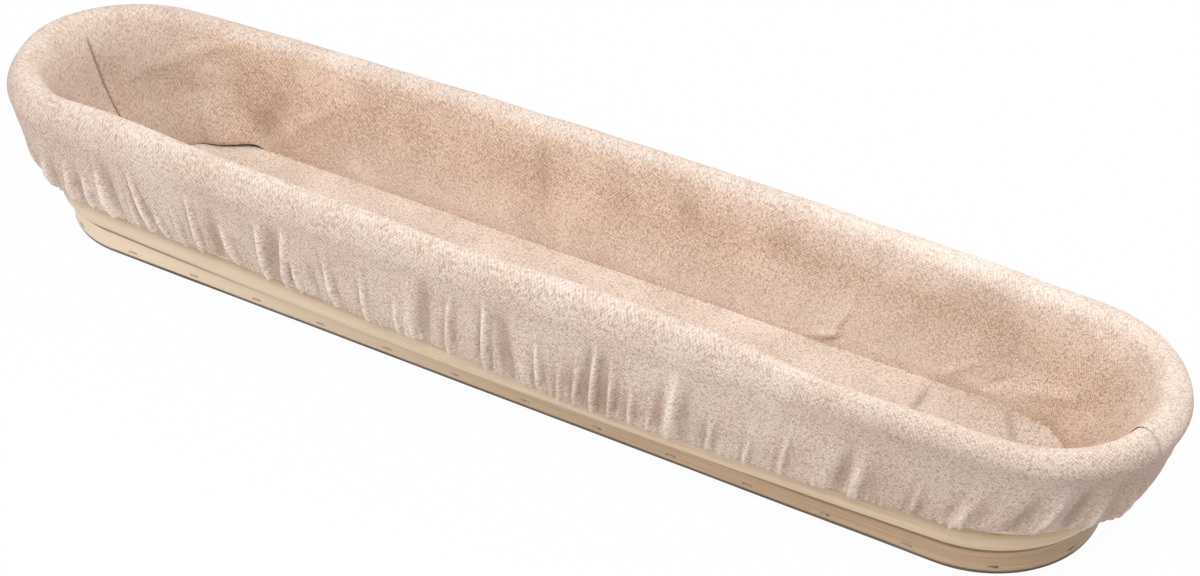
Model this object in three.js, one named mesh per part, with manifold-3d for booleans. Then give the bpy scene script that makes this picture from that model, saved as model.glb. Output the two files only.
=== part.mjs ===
// Long oval proofing basket: a wound cane wall on a cane foot ring, lined with a gathered linen liner.
// Millimetres, +Z up, X along the basket, origin on the table under the middle.

import * as THREE from "three";
import { mergeVertices } from "three/addons/utils/BufferGeometryUtils.js";
import Module from "manifold-3d";

const wasm = await Module();
wasm.setup();

// Foot ring, a flat cane band, over its outer face
const FOOT_LENGTH = 405;
const FOOT_WIDTH = 77;
const FOOT_BOW = 0.1;
const FOOT_HEIGHT = 11;
const FOOT_THICKNESS = 7.5;
const FOOT_EDGE = 1.6;
const FOOT_SCARF = 24;

// Base, a cane wound flat round a straight one inside the foot ring
const BASE_CANE = 8.4;
const BASE_LIFT = 2.2;

// Wall, a cane wound upwards, over its lowest and its top turn
const WALL_CANE = 8.7;
const WALL_TURNS = 5;
const LOW_LENGTH = 411;
const LOW_WIDTH = 90.5;
const LOW_BOW = 3.8;
const RIM_LENGTH = 446.8;
const RIM_WIDTH = 96.4;
const RIM_BOW = 4.5;

// Stretch over which a wound cane steps to its next turn, and the half-thickness of its shaved tips
const SCARF_LENGTH = 110;
const SCARF_TIP = 0.6;

// Wire staples that hold the base in the foot ring
const STAPLE_PITCH = 28;
const STAPLE_CROWN = 3.6;
const STAPLE_WIRE = 0.7;
const STAPLE_LEG = 13.5;
const STAPLE_HEIGHT = 3.6;

// Brads that hold the top turn to the turn below
const BRAD_COUNT = 12;
const BRAD_LENGTH = 15;
const BRAD_SHANK = 1.4;
const BRAD_HEAD = 2.8;
const BRAD_HEAD_THICKNESS = 0.8;
const BRAD_SINK = 0.9;

// Liner cloth, its hem over the lowest turn and how far it rises at the two ends, its gathers and seams
const CLOTH = 1;
const HEM_HEIGHT = 4.8;
const HEM_RISE = 8;
const HEM_DEPTH = 6;
const GATHER_DEPTH = 1.3;
const SKIRT_SWELL = 0.8;
const SEAM_SHIFT = 13;

// Flat elastic in the hem
const ELASTIC_WIDTH = 4;
const ELASTIC_THICKNESS = 1;

// Clearances: between touching pieces, between turns of one cane, and between cloth and cane
const SEAT_GAP = 0.3;
const TURN_GAP = 0.42;
const CLOTH_GAP = 0.45;

// Facets: steps in a quarter's end arc and side, in the gathers along it, in a scarf, and sides of a
// cane and a brad
const END_STEPS = 6;
const SIDE_STEPS = 3;
const GATHER_STEPS = 15;
const SCARF_STEPS = 6;
const CANE_SIDES = 8;
const BRAD_SIDES = 6;

// Finishes
const cane = new THREE.MeshStandardMaterial({ color: 0xd9bd92, roughness: 0.55, metalness: 0 });
const linen = new THREE.MeshStandardMaterial({ color: 0xd8c0ac, roughness: 0.95, metalness: 0 });
const elastic = new THREE.MeshStandardMaterial({ color: 0xe8e4dc, roughness: 0.85, metalness: 0 });
const wire = new THREE.MeshStandardMaterial({ color: 0x6b6660, roughness: 0.45, metalness: 1 });

const UP = new THREE.Vector3(0, 0, 1);
const count = (n) => [...Array(n).keys()];

function offset(point, ...moves) {
  return moves.reduce((moved, [way, by]) => moved.addScaledVector(way, by), point.clone());
}

// Oval of four tangent arcs, whose sides swell past the end arcs by its bow
class Oval {
  constructor(length, width, bow) {
    this.length = length;
    this.width = width;
    this.bow = bow;
    const halfWidth = width / 2;
    this.endRadius = halfWidth - bow;
    this.endX = length / 2 - this.endRadius;
    this.sideRadius = (this.endX ** 2 + halfWidth ** 2 - this.endRadius ** 2) / (2 * bow);
    this.sideAngle = Math.asin(this.endX / (this.sideRadius - this.endRadius));
    this.endAngle = Math.PI / 2 - this.sideAngle;
    this.sideY = halfWidth - this.sideRadius;
    const endArc = this.endRadius * this.endAngle;
    const quarter = endArc + this.sideRadius * this.sideAngle;
    this.endShare = endArc / quarter;
    this.perimeter = 4 * quarter;
  }

  inset(distance) {
    return new Oval(this.length - 2 * distance, this.width - 2 * distance, this.bow);
  }

  // Point and outward normal at a share of the way round, from the +X tip towards +Y
  at(share, endShare = this.endShare) {
    const step = 4 * (share - Math.floor(share));
    const quarter = Math.min(3, Math.floor(step));
    const along = quarter % 2 ? quarter + 1 - step : step - quarter;
    const point = new THREE.Vector3();
    const normal = new THREE.Vector3();
    if (along < endShare) {
      const angle = this.endAngle * (along / endShare);
      normal.set(Math.cos(angle), Math.sin(angle), 0);
      point.copy(normal).multiplyScalar(this.endRadius);
      point.x += this.endX;
    } else {
      const angle = this.sideAngle * ((1 - along) / (1 - endShare));
      normal.set(Math.sin(angle), Math.cos(angle), 0);
      point.copy(normal).multiplyScalar(this.sideRadius);
      point.y += this.sideY;
    }
    const acrossX = quarter === 1 || quarter === 2 ? -1 : 1;
    const acrossY = quarter > 1 ? -1 : 1;
    const mirror = new THREE.Vector3(acrossX, acrossY, 1);
    return { point: point.multiply(mirror), normal: normal.multiply(mirror) };
  }

  // Shares of the way round at which the arcs are stepped
  stations(sideSteps = SIDE_STEPS) {
    const sideShare = 1 - this.endShare;
    const ends = count(END_STEPS).map((i) => (this.endShare * i) / END_STEPS);
    const sides = count(sideSteps).map((i) => this.endShare + (sideShare * i) / sideSteps);
    const quarter = [...ends, ...sides];
    const inner = quarter.filter((along) => along > 0);
    const there = [0, 2].flatMap((q) => quarter.map((along) => (q + along) / 4));
    const back = [2, 4].flatMap((q) => inner.map((along) => (q - along) / 4));
    return [...there, ...back, 1 / 4, 3 / 4].sort((a, b) => a - b);
  }

  shape() {
    const path = new THREE.Shape();
    const arc = (x, y, radius, middle, half) =>
      path.absarc(x, y, radius, middle - half, middle + half, false);
    arc(this.endX, 0, this.endRadius, 0, this.endAngle);
    arc(0, this.sideY, this.sideRadius, Math.PI / 2, this.sideAngle);
    arc(-this.endX, 0, this.endRadius, Math.PI, this.endAngle);
    arc(0, -this.sideY, this.sideRadius, (3 * Math.PI) / 2, this.sideAngle);
    return path;
  }
}

// Closed body through sections of as many points each, with flat ends unless it closes on itself
function loft(sections, closed = false) {
  const sides = sections[0].length;
  const position = new Float32Array(sections.flat().flatMap((point) => point.toArray()));
  const index = [];
  const quad = (a, b, c, d) => index.push(a, b, c, a, c, d);
  const spans = closed ? sections.length : sections.length - 1;
  for (let i = 0; i < spans; i++) {
    const here = i * sides;
    const next = ((i + 1) % sections.length) * sides;
    for (let j = 0; j < sides; j++) {
      const k = (j + 1) % sides;
      quad(here + j, next + j, next + k, here + k);
    }
  }
  const end = (sections.length - 1) * sides;
  for (let j = 0; j < sides / 2 - 1 && !closed; j++) {
    const back = sides - 1 - j;
    quad(j, j + 1, back - 1, back);
    quad(end + j + 1, end + j, end + back, end + back - 1);
  }
  const geometry = new THREE.BufferGeometry();
  geometry.setAttribute("position", new THREE.BufferAttribute(position, 3));
  geometry.setIndex(index);
  return geometry;
}

function solidOf(geometry, matrix = new THREE.Matrix4()) {
  const bare = new THREE.BufferGeometry();
  bare.setAttribute("position", geometry.getAttribute("position").clone());
  bare.setIndex(geometry.index);
  const merged = mergeVertices(bare.applyMatrix4(matrix));
  const triVerts = new Uint32Array(merged.index.array);
  const vertProperties = merged.attributes.position.array;
  return new wasm.Manifold(new wasm.Mesh({ numProp: 3, vertProperties, triVerts }));
}

function cutAway(geometry, tools) {
  const cut = tools.reduce((solid, tool) => solid.subtract(tool), solidOf(geometry));
  const mesh = cut.getMesh();
  const result = new THREE.BufferGeometry();
  result.setAttribute("position", new THREE.BufferAttribute(mesh.vertProperties, 3));
  result.setIndex(new THREE.BufferAttribute(mesh.triVerts, 1));
  return result;
}

function named(name, geometry, material) {
  const mesh = new THREE.Mesh(geometry, material);
  mesh.name = name;
  return mesh;
}

const numbered = (name, i) => `${name}_${String(i + 1).padStart(2, "0")}`;

// Foot ring: its two ends meet in a slanted joint in the middle of the back
const footOval = new Oval(FOOT_LENGTH, FOOT_WIDTH, FOOT_BOW);
const BACK = 1 / 4;

function footSection() {
  const corner = (depth, height, from) =>
    [0, 1, 2].map((i) => {
      const angle = from + (i * Math.PI) / 4;
      return [depth + FOOT_EDGE * Math.cos(angle), height + FOOT_EDGE * Math.sin(angle)];
    });
  const near = FOOT_EDGE;
  const deep = FOOT_THICKNESS - FOOT_EDGE;
  const high = FOOT_HEIGHT - FOOT_EDGE;
  const quarter = Math.PI / 2;
  const round = [
    ...corner(near, near, 2 * quarter),
    ...corner(deep, near, 3 * quarter),
    ...corner(deep, high, 0),
    ...corner(near, high, quarter),
  ];
  return round.reverse();
}

function footRing() {
  const section = footSection();
  const slant = FOOT_SCARF / footOval.perimeter;
  const gap = SEAT_GAP / footOval.perimeter;
  const fade = 2 * slant;
  const shares = footOval.stations().map((share) => (share - BACK + 1) % 1);
  const stations = [gap, ...shares.filter((share) => share > fade && share < 1 - fade), 1 - gap];
  stations.push(fade, 1 - fade);
  stations.sort((a, b) => a - b);
  return loft(
    stations.map((share) => {
      const lean = slant * Math.max(0, 1 - Math.min(share, 1 - share) / fade);
      return section.map(([depth, height]) => {
        const place = BACK + share + lean * (depth / FOOT_THICKNESS - 1 / 2);
        const { point } = footOval.inset(depth).at(place, footOval.endShare);
        return offset(point, [UP, height]);
      });
    }),
  );
}

// A cane wound in level turns: it steps to the next turn over its scarf, where both ends are wedges,
// so that the first and the last turn lie flat against their neighbours.
const smooth = (x) => x * x * (3 - 2 * x);
const unsmooth = (y) => 1 / 2 - Math.sin(Math.asin(1 - 2 * y) / 3);

function windingSections({ turns, oval, radius, place }) {
  const scarf = SCARF_LENGTH / oval.perimeter;
  const start = BACK - scarf / 2;
  const around = oval.stations().map((share) => (share - start + 1) % 1);
  const steps = count(SCARF_STEPS + 1).map((i) => (scarf * i) / SCARF_STEPS);
  const margin = scarf / SCARF_STEPS / 2;
  const fractions = [...steps, ...around.filter((f) => f > scarf + margin && f < 1 - margin)];
  fractions.sort((a, b) => a - b);
  const least = (TURN_GAP + 2 * SCARF_TIP) / place(start, 0).pitch;
  const first = scarf * unsmooth(least);
  const last = turns + scarf - first;
  const wound = count(turns + 1).flatMap((turn) => fractions.map((f) => turn + f));
  const kept = wound.filter((t) => t > first + margin && t < last - margin);
  return [first, ...kept, last].map((t) => {
    const turn = Math.floor(t);
    const climb = smooth(Math.min(1, (t - turn) / scarf));
    const lowest = turn === 0;
    const highest = turn === turns;
    const level = lowest ? 0 : highest ? turns - 1 : turn - 1 + climb;
    const { centre, stack, across, pitch } = place(start + t, level);
    const room = lowest ? climb : highest ? 1 - climb : 1;
    const half = Math.min(radius, (room * pitch - TURN_GAP) / 2);
    const thin = radius - half;
    const middle = offset(centre, [stack, lowest ? -thin : highest ? thin : 0]);
    const shoulder = half * (1 - Math.SQRT1_2);
    const wide = Math.SQRT2 * Math.sqrt(shoulder * (2 * radius - shoulder));
    return count(CANE_SIDES).map((i) => {
      const angle = (2 * Math.PI * i) / CANE_SIDES;
      return offset(middle, [across, wide * Math.cos(angle)], [stack, half * Math.sin(angle)]);
    });
  });
}

// Least distance between points of a winding that lie half a turn or more apart along it
function leastGap(sections, turns) {
  const apart = Math.floor(sections.length / turns / 2);
  const nearest = (point, section) => Math.min(...section.map((other) => point.distanceTo(other)));
  let least = Infinity;
  sections.forEach((section, i) => {
    for (const other of sections.slice(i + apart)) {
      least = Math.min(least, ...section.map((point) => nearest(point, other)));
    }
  });
  return least;
}

function winding(name, spec) {
  const sections = windingSections(spec);
  console.log(`${name}: least gap to itself ${leastGap(sections, spec.turns).toFixed(2)} mm`);
  return loft(sections);
}

// Base: as many turns as fit between the straight core cane and the foot ring
const baseRadius = BASE_CANE / 2;
const baseZ = BASE_LIFT + baseRadius;
const baseReach = FOOT_WIDTH / 2 - FOOT_THICKNESS - SEAT_GAP - baseRadius;
const baseTurns = Math.max(1, Math.floor(baseReach / (BASE_CANE + TURN_GAP)));
const basePitch = baseReach / baseTurns;
const baseOval = footOval.inset(FOOT_THICKNESS + SEAT_GAP + baseRadius);

function basePlace(share, level) {
  const turn = baseOval.inset((baseTurns - 1 - level) * basePitch);
  const { point, normal } = turn.at(share, baseOval.endShare);
  const centre = offset(point, [UP, baseZ]);
  return { centre, stack: normal, across: UP.clone().negate(), pitch: basePitch };
}

function baseCore() {
  const core = new THREE.CapsuleGeometry(baseRadius, 2 * baseOval.endX, 2, CANE_SIDES);
  return core.rotateZ(Math.PI / 2).translate(0, 0, baseZ);
}

// Wall: the surface through the cane's middle, ruled from the lowest turn to the top turn
const wallRadius = WALL_CANE / 2;
const lowZ = FOOT_HEIGHT + SEAT_GAP + wallRadius;
const rimZ = lowZ + (WALL_TURNS - 1) * (WALL_CANE + TURN_GAP);
const lowOval = new Oval(LOW_LENGTH, LOW_WIDTH, LOW_BOW).inset(wallRadius);
const rimOval = new Oval(RIM_LENGTH, RIM_WIDTH, RIM_BOW).inset(wallRadius);

function wallAt(share) {
  const low = lowOval.at(share, rimOval.endShare);
  const rim = rimOval.at(share, rimOval.endShare);
  const foot = offset(low.point, [UP, lowZ]);
  const rise = offset(rim.point, [UP, rimZ]).sub(foot);
  const slope = rise.length();
  const up = rise.divideScalar(slope);
  const flat = low.normal.add(rim.normal).normalize();
  const out = offset(flat, [up, -flat.dot(up)]).normalize();
  const point = (outward, height) => offset(foot, [out, outward], [up, height]);
  return { slope, up, out, point };
}

function wallPlace(share, level) {
  const { slope, up, out, point } = wallAt(share);
  const pitch = slope / (WALL_TURNS - 1);
  return { centre: point(0, level * pitch), stack: up, across: out, pitch };
}

// Staples: driven in round the foot ring, each in its slit through the ring and into the base
const stapleCount = Math.round(footOval.perimeter / STAPLE_PITCH);

function staplePlace(i) {
  const share = BACK + (i + 1 / 2) / stapleCount;
  const { point, normal } = footOval.at(share);
  const turn = new THREE.Matrix4().makeRotationZ(Math.atan2(normal.y, normal.x));
  return turn.setPosition(point.x, point.y, STAPLE_HEIGHT);
}

function stapleShape() {
  const half = STAPLE_CROWN / 2;
  const inner = half - STAPLE_WIRE;
  const outline = [
    [0, -half],
    [0, half],
    [-STAPLE_LEG, half],
    [-STAPLE_LEG, inner],
    [-STAPLE_WIRE, inner],
    [-STAPLE_WIRE, -inner],
    [-STAPLE_LEG, -inner],
    [-STAPLE_LEG, -half],
  ];
  const shape = new THREE.Shape(outline.map(([x, y]) => new THREE.Vector2(x, y)));
  const made = new THREE.ExtrudeGeometry(shape, { depth: STAPLE_WIRE, bevelEnabled: false });
  return made.translate(0, 0, -STAPLE_WIRE / 2);
}

function slitTool(i) {
  const depth = STAPLE_LEG + SEAT_GAP;
  const mouth = STAPLE_WIRE;
  const wide = STAPLE_CROWN + 2 * SEAT_GAP;
  const slit = new THREE.BoxGeometry(depth + mouth, wide, STAPLE_WIRE + 2 * SEAT_GAP);
  return solidOf(slit.translate((mouth - depth) / 2, 0, 0), staplePlace(i));
}

// Brads: sunk into the top turn and driven into the turn below, clear of the scarf
function bradPlace(i) {
  const clear = (SCARF_LENGTH + WALL_CANE) / rimOval.perimeter;
  const share = BACK + clear / 2 + ((1 - clear) * (i + 1 / 2)) / BRAD_COUNT;
  const { slope, up, point } = wallAt(share);
  const turn = new THREE.Quaternion().setFromUnitVectors(new THREE.Vector3(0, 1, 0), up);
  const top = point(0, slope + wallRadius - BRAD_SINK);
  return new THREE.Matrix4().compose(top, turn, new THREE.Vector3(1, 1, 1));
}

function lathe(profile) {
  return new THREE.LatheGeometry(profile.map(([r, y]) => new THREE.Vector2(r, y)), BRAD_SIDES);
}

function brad() {
  const shank = BRAD_SHANK / 2;
  return lathe([
    [0, -BRAD_LENGTH],
    [shank, -BRAD_LENGTH + BRAD_SHANK],
    [shank, -BRAD_HEAD_THICKNESS],
    [BRAD_HEAD / 2, -BRAD_HEAD_THICKNESS],
    [BRAD_HEAD / 2, 0],
    [0, 0],
  ]);
}

function bradHole(i) {
  const shank = BRAD_SHANK / 2 + SEAT_GAP;
  const head = BRAD_HEAD / 2 + SEAT_GAP;
  const seat = -BRAD_HEAD_THICKNESS - SEAT_GAP;
  const hole = lathe([
    [0, -BRAD_LENGTH - SEAT_GAP],
    [shank, -BRAD_LENGTH - SEAT_GAP],
    [shank, seat],
    [head, seat],
    [head, BRAD_HEAD],
    [0, BRAD_HEAD],
  ]);
  return solidOf(hole, bradPlace(i));
}

// Liner: both side panels run from the floor up the inside, over the rim and down to the hem
const floorOval = footOval.inset(FOOT_THICKNESS + CLOTH_GAP);
const floorZ = baseZ + baseRadius + SEAT_GAP;
const caneSide = wallRadius + CLOTH_GAP;
const roomSide = caneSide + CLOTH;
const casing = CLOTH + ELASTIC_THICKNESS + 2 * SEAT_GAP;
const linerSeam = -SEAM_SHIFT / rimOval.perimeter;
const RIM_ARC = [135, 90, 45];

const hemAt = (share) => HEM_HEIGHT + HEM_RISE * Math.cos(2 * Math.PI * share) ** 2;

function linerFloor() {
  const settings = { depth: CLOTH, bevelEnabled: false, curveSegments: 2 * END_STEPS };
  return new THREE.ExtrudeGeometry(floorOval.shape(), settings).translate(0, 0, floorZ);
}

// Section of a side panel: its face towards the cane, then back along its face to the room
function panelSection(share, gather) {
  const wall = wallAt(share);
  const edge = floorOval.inset(-SEAT_GAP).at(share, rimOval.endShare).point;
  const edgeZ = FOOT_HEIGHT + CLOTH_GAP;
  const over = (radius) =>
    RIM_ARC.map((degrees) => {
      const angle = THREE.MathUtils.degToRad(degrees);
      return wall.point(radius * Math.cos(angle), wall.slope + radius * Math.sin(angle));
    });
  const fold = gather * GATHER_DEPTH;
  const hem = hemAt(share);
  const hemTop = hem + HEM_DEPTH;
  const middle = (wall.slope + hemTop) / 2;
  const skirt = (face) => [
    wall.point(face, wall.slope),
    wall.point(face + (SKIRT_SWELL + fold) / 2, middle),
    wall.point(face + casing + fold, hemTop),
  ];
  const toCane = [
    offset(edge, [UP, edgeZ]),
    wall.point(-caneSide, 0),
    wall.point(-caneSide, wall.slope),
    ...over(caneSide),
    ...skirt(caneSide),
    wall.point(caneSide + casing + fold, hem + CLOTH),
    wall.point(roomSide, hem + CLOTH),
    wall.point(roomSide, hemTop),
  ];
  const toRoom = [
    offset(edge, [UP, edgeZ + CLOTH]),
    wall.point(-roomSide, 0),
    wall.point(-roomSide, wall.slope),
    ...over(roomSide),
    ...skirt(roomSide),
    wall.point(roomSide + casing + fold, hem),
    wall.point(caneSide, hem),
    wall.point(caneSide, hemTop),
  ];
  return [...toCane, ...toRoom.reverse()];
}

function sidePanel(from) {
  const seam = SEAT_GAP / 2 / rimOval.perimeter;
  const margin = CLOTH / rimOval.perimeter;
  const around = rimOval.stations(GATHER_STEPS).map((share) => (share - from + 1) % 1);
  const between = around.filter((share) => share > margin && share < 1 / 2 - margin);
  const stations = [seam, ...between.sort((a, b) => a - b), 1 / 2 - seam];
  return loft(stations.map((share, i) => panelSection(from + share, i % 2)));
}

function hemElastic() {
  const inner = roomSide + SEAT_GAP;
  const outer = inner + ELASTIC_THICKNESS;
  return loft(
    rimOval.stations(GATHER_STEPS).map((share) => {
      const { point } = wallAt(share);
      const low = hemAt(share) + CLOTH + SEAT_GAP;
      const high = low + ELASTIC_WIDTH;
      return [point(outer, low), point(outer, high), point(inner, high), point(inner, low)];
    }),
    true,
  );
}

// The basket
const basket = new THREE.Group();
const slits = count(stapleCount).map(slitTool);
const bradHoles = count(BRAD_COUNT).map(bradHole);
const baseSpec = { turns: baseTurns, oval: baseOval, radius: baseRadius, place: basePlace };
const wallSpec = { turns: WALL_TURNS, oval: rimOval, radius: wallRadius, place: wallPlace };
basket.add(named("foot_ring", cutAway(footRing(), slits), cane));
basket.add(named("base_core", baseCore(), cane));
basket.add(named("base_coil", cutAway(winding("base_coil", baseSpec), slits), cane));
basket.add(named("wall_coil", cutAway(winding("wall_coil", wallSpec), bradHoles), cane));
for (let i = 0; i < stapleCount; i++) {
  const staple = named(numbered("foot_staple", i), stapleShape(), wire);
  staple.applyMatrix4(staplePlace(i));
  basket.add(staple);
}
for (let i = 0; i < BRAD_COUNT; i++) {
  const nail = named(numbered("rim_brad", i), brad(), wire);
  nail.applyMatrix4(bradPlace(i));
  basket.add(nail);
}

// The liner that lifts out of it
const liner = new THREE.Group();
liner.add(named("liner_floor", linerFloor(), linen));
liner.add(named("liner_back", sidePanel(linerSeam), linen));
liner.add(named("liner_front", sidePanel(linerSeam + 1 / 2), linen));
liner.add(named("hem_elastic", hemElastic(), elastic));

const proofingBasket = new THREE.Group();
proofingBasket.add(basket, liner);

export default proofingBasket;
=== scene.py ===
"""Dress the long oval proofing basket: wound cane, foot band, wire and a gathered linen liner.

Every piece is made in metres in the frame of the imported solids: X along the basket, Z up, and the
table at 0.
"""

from __future__ import annotations

import logging
import math
import random
from dataclasses import dataclass, field, replace
from enum import Enum
from functools import cached_property
from typing import Any, Callable, Union

import bmesh
import bpy
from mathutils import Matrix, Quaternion, Vector, noise

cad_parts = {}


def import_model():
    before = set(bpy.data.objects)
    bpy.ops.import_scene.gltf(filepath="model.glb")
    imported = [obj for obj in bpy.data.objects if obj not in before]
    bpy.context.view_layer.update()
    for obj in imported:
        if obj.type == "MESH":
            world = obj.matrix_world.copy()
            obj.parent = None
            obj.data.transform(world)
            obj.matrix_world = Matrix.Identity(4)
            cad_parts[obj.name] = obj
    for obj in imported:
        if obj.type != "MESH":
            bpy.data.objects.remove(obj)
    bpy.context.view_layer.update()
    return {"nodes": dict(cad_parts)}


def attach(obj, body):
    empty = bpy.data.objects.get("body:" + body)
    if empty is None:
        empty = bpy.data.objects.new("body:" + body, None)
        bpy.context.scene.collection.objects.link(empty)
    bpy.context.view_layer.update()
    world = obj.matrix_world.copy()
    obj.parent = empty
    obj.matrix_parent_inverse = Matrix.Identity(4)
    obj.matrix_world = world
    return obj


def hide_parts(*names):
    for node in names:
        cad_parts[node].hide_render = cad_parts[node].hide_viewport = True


LOG = logging.getLogger("proofing_basket")
MM = 0.001
UP = Vector((0, 0, 1))
BACK = 1 / 4
WELD = 0.001 * MM
ROUNDING = 1e-6


class Body(Enum):
    """The two bodies of the basket that move apart."""

    BASKET = "basket"
    LINER = "liner"


class Slot(Enum):
    """The record's material slots."""

    CANE = "cane"
    LINEN = "linen"
    ELASTIC = "elastic"


# Shader maths


class Shade:
    """A value or a colour in a material; arithmetic on it adds Math nodes."""

    def __init__(self, bench: Bench, socket: bpy.types.NodeSocket) -> None:
        """Keep the bench that adds nodes and the socket that gives the value."""
        self.bench = bench
        self.socket = socket

    def maths(self, operation: str, *values: Value) -> Shade:
        """Add one Math node of this operation on these values."""
        return self.bench.node("ShaderNodeMath", {"operation": operation}, dict(enumerate(values)))

    def __add__(self, other: Value) -> Shade:
        """Add a value."""
        return self.maths("ADD", self, other)

    def __radd__(self, other: Value) -> Shade:
        """Add this to a value."""
        return self.maths("ADD", other, self)

    def __sub__(self, other: Value) -> Shade:
        """Take a value away."""
        return self.maths("SUBTRACT", self, other)

    def __rsub__(self, other: Value) -> Shade:
        """Take this away from a value."""
        return self.maths("SUBTRACT", other, self)

    def __mul__(self, other: Value) -> Shade:
        """Multiply by a value."""
        return self.maths("MULTIPLY", self, other)

    def __rmul__(self, other: Value) -> Shade:
        """Multiply a value by this."""
        return self.maths("MULTIPLY", other, self)

    def __truediv__(self, other: Value) -> Shade:
        """Divide by a value."""
        return self.maths("DIVIDE", self, other)

    def sine(self) -> Shade:
        """Sine of this value in radians."""
        return self.maths("SINE", self)

    def rise(self, start: Value, end: Value) -> Shade:
        """Climb smoothly from 0 to 1 between two values of this one.

        Args:
            start: Where the climb starts.
            end: Where it reaches 1.

        Returns:
            The climb, held to 0 and 1 outside that stretch.
        """
        settings = {"interpolation_type": "SMOOTHSTEP"}
        sockets = {"Value": self, "From Min": start, "From Max": end}
        return self.bench.node("ShaderNodeMapRange", settings, sockets)


Value = Union[Shade, float, tuple[float, ...]]


class Bench:
    """The node tree of a material or of the room, and the nodes that are added to it."""

    # Places of a colour Mix node's sockets, whose names stand for other kinds of values too
    MIX_FACTOR = 0
    MIX_FIRST = 6
    MIX_SECOND = 7
    MIX_RESULT = 2

    def __init__(self, owner: bpy.types.Material | bpy.types.World) -> None:
        """Start with an empty tree.

        Args:
            owner: The material or the room.
        """
        owner.use_nodes = True
        self.tree = owner.node_tree
        self.tree.nodes.clear()

    @classmethod
    def of_material(cls, name: str) -> tuple[Bench, bpy.types.Material]:
        """Start a material of this name, and give it too.

        Args:
            name: The material's name.

        Returns:
            The bench and the material.
        """
        material = bpy.data.materials.new(name)
        return cls(material), material

    def node(
        self,
        kind: str,
        settings: dict[str, Any] | None = None,
        sockets: dict[Any, Value] | None = None,
        output: int | str = 0,
    ) -> Shade:
        """Add one node.

        Args:
            kind: The node's type.
            settings: Its own settings; stops are a colour ramp's places and colours.
            sockets: Values or links of its inputs, by name or place.
            output: The output that is wanted.

        Returns:
            That output.
        """
        made = self.tree.nodes.new(kind)
        for key, value in (settings or {}).items():
            if key == "stops":
                self._stops(made, value)
            else:
                setattr(made, key, value)
        for key, value in (sockets or {}).items():
            if isinstance(value, Shade):
                self.tree.links.new(value.socket, made.inputs[key])
            else:
                made.inputs[key].default_value = value
        return Shade(self, made.outputs[output])

    @staticmethod
    def _stops(ramp: bpy.types.Node, stops: list[tuple[float, tuple[float, ...]]]) -> None:
        """Give a colour ramp its stops.

        Args:
            ramp: The ramp's node.
            stops: Its places and colours, in order.
        """
        elements = ramp.color_ramp.elements
        while len(elements) < len(stops):
            elements.new(1)
        for element, (place, colour) in zip(elements, stops):
            element.position = place
            element.color = (*colour, 1)

    def lay(self) -> tuple[Shade, Shade]:
        """Give the piece's own coordinates, in metres along and across it.

        Returns:
            The way along it and the way across it.
        """
        uv = self.node("ShaderNodeUVMap", {"uv_map": Skin.LAY})
        split = {"Vector": uv}
        along = self.node("ShaderNodeSeparateXYZ", {}, split, "X")
        across = self.node("ShaderNodeSeparateXYZ", {}, split, "Y")
        return along, across

    def mix(self, factor: Value, first: Value, second: Value, blend: str = "MIX") -> Shade:
        """Mix or blend two colours.

        Args:
            factor: Share of the second colour.
            first: First colour.
            second: Second colour.
            blend: How they are blended.

        Returns:
            The mixed colour.
        """
        settings = {"data_type": "RGBA", "blend_type": blend}
        sockets = {self.MIX_FACTOR: factor, self.MIX_FIRST: first, self.MIX_SECOND: second}
        return self.node("ShaderNodeMix", settings, sockets, self.MIX_RESULT)

    def dress(self, sockets: dict[str, Value], height: Shade | None = None, depth: float = 0.0) -> None:
        """Finish the material with one surface shader.

        Args:
            sockets: Inputs of the shader.
            height: Relief of the surface, from 0 to 1.
            depth: What a relief of 1 stands for, in metres.
        """
        if height is not None:
            relief = {"Height": height, "Distance": depth, "Strength": 1.0}
            sockets = {**sockets, "Normal": self.node("ShaderNodeBump", {}, relief)}
        self.show(self.node("ShaderNodeBsdfPrincipled", {}, sockets))

    def show(self, shader: Shade, output: str = "ShaderNodeOutputMaterial") -> None:
        """Let the surface, or the room, show this shader.

        Args:
            shader: What is shown.
            output: The output node's type.
        """
        shown = self.tree.nodes.new(output)
        self.tree.links.new(shader.socket, shown.inputs["Surface"])


Colour = tuple[float, float, float]


def opaque(colour: Colour) -> tuple[float, float, float, float]:
    """Give a colour as a socket takes it."""
    return (*colour, 1.0)


# Finishes


@dataclass(frozen=True)
class Grain:
    """Soft noise over a piece: the length and width of its lumps, its finer layers and its seed.

    The seed sets one noise apart from another.
    """

    length: float
    width: float
    detail: float = 2.0
    seed: float = 0.0

    def over(self, along: Shade, across: Shade) -> Shade:
        """Lay the noise over two coordinates.

        Args:
            along: First coordinate, in the unit of the grain's length.
            across: Second coordinate, in the unit of its width.

        Returns:
            The noise, about 0.5 on average.
        """
        bench = along.bench
        lump = {"X": along / self.length, "Y": across / self.width, "Z": self.seed}
        place = bench.node("ShaderNodeCombineXYZ", {}, lump)
        return bench.node("ShaderNodeTexNoise", {}, {"Vector": place, "Scale": 1.0, "Detail": self.detail})


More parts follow.
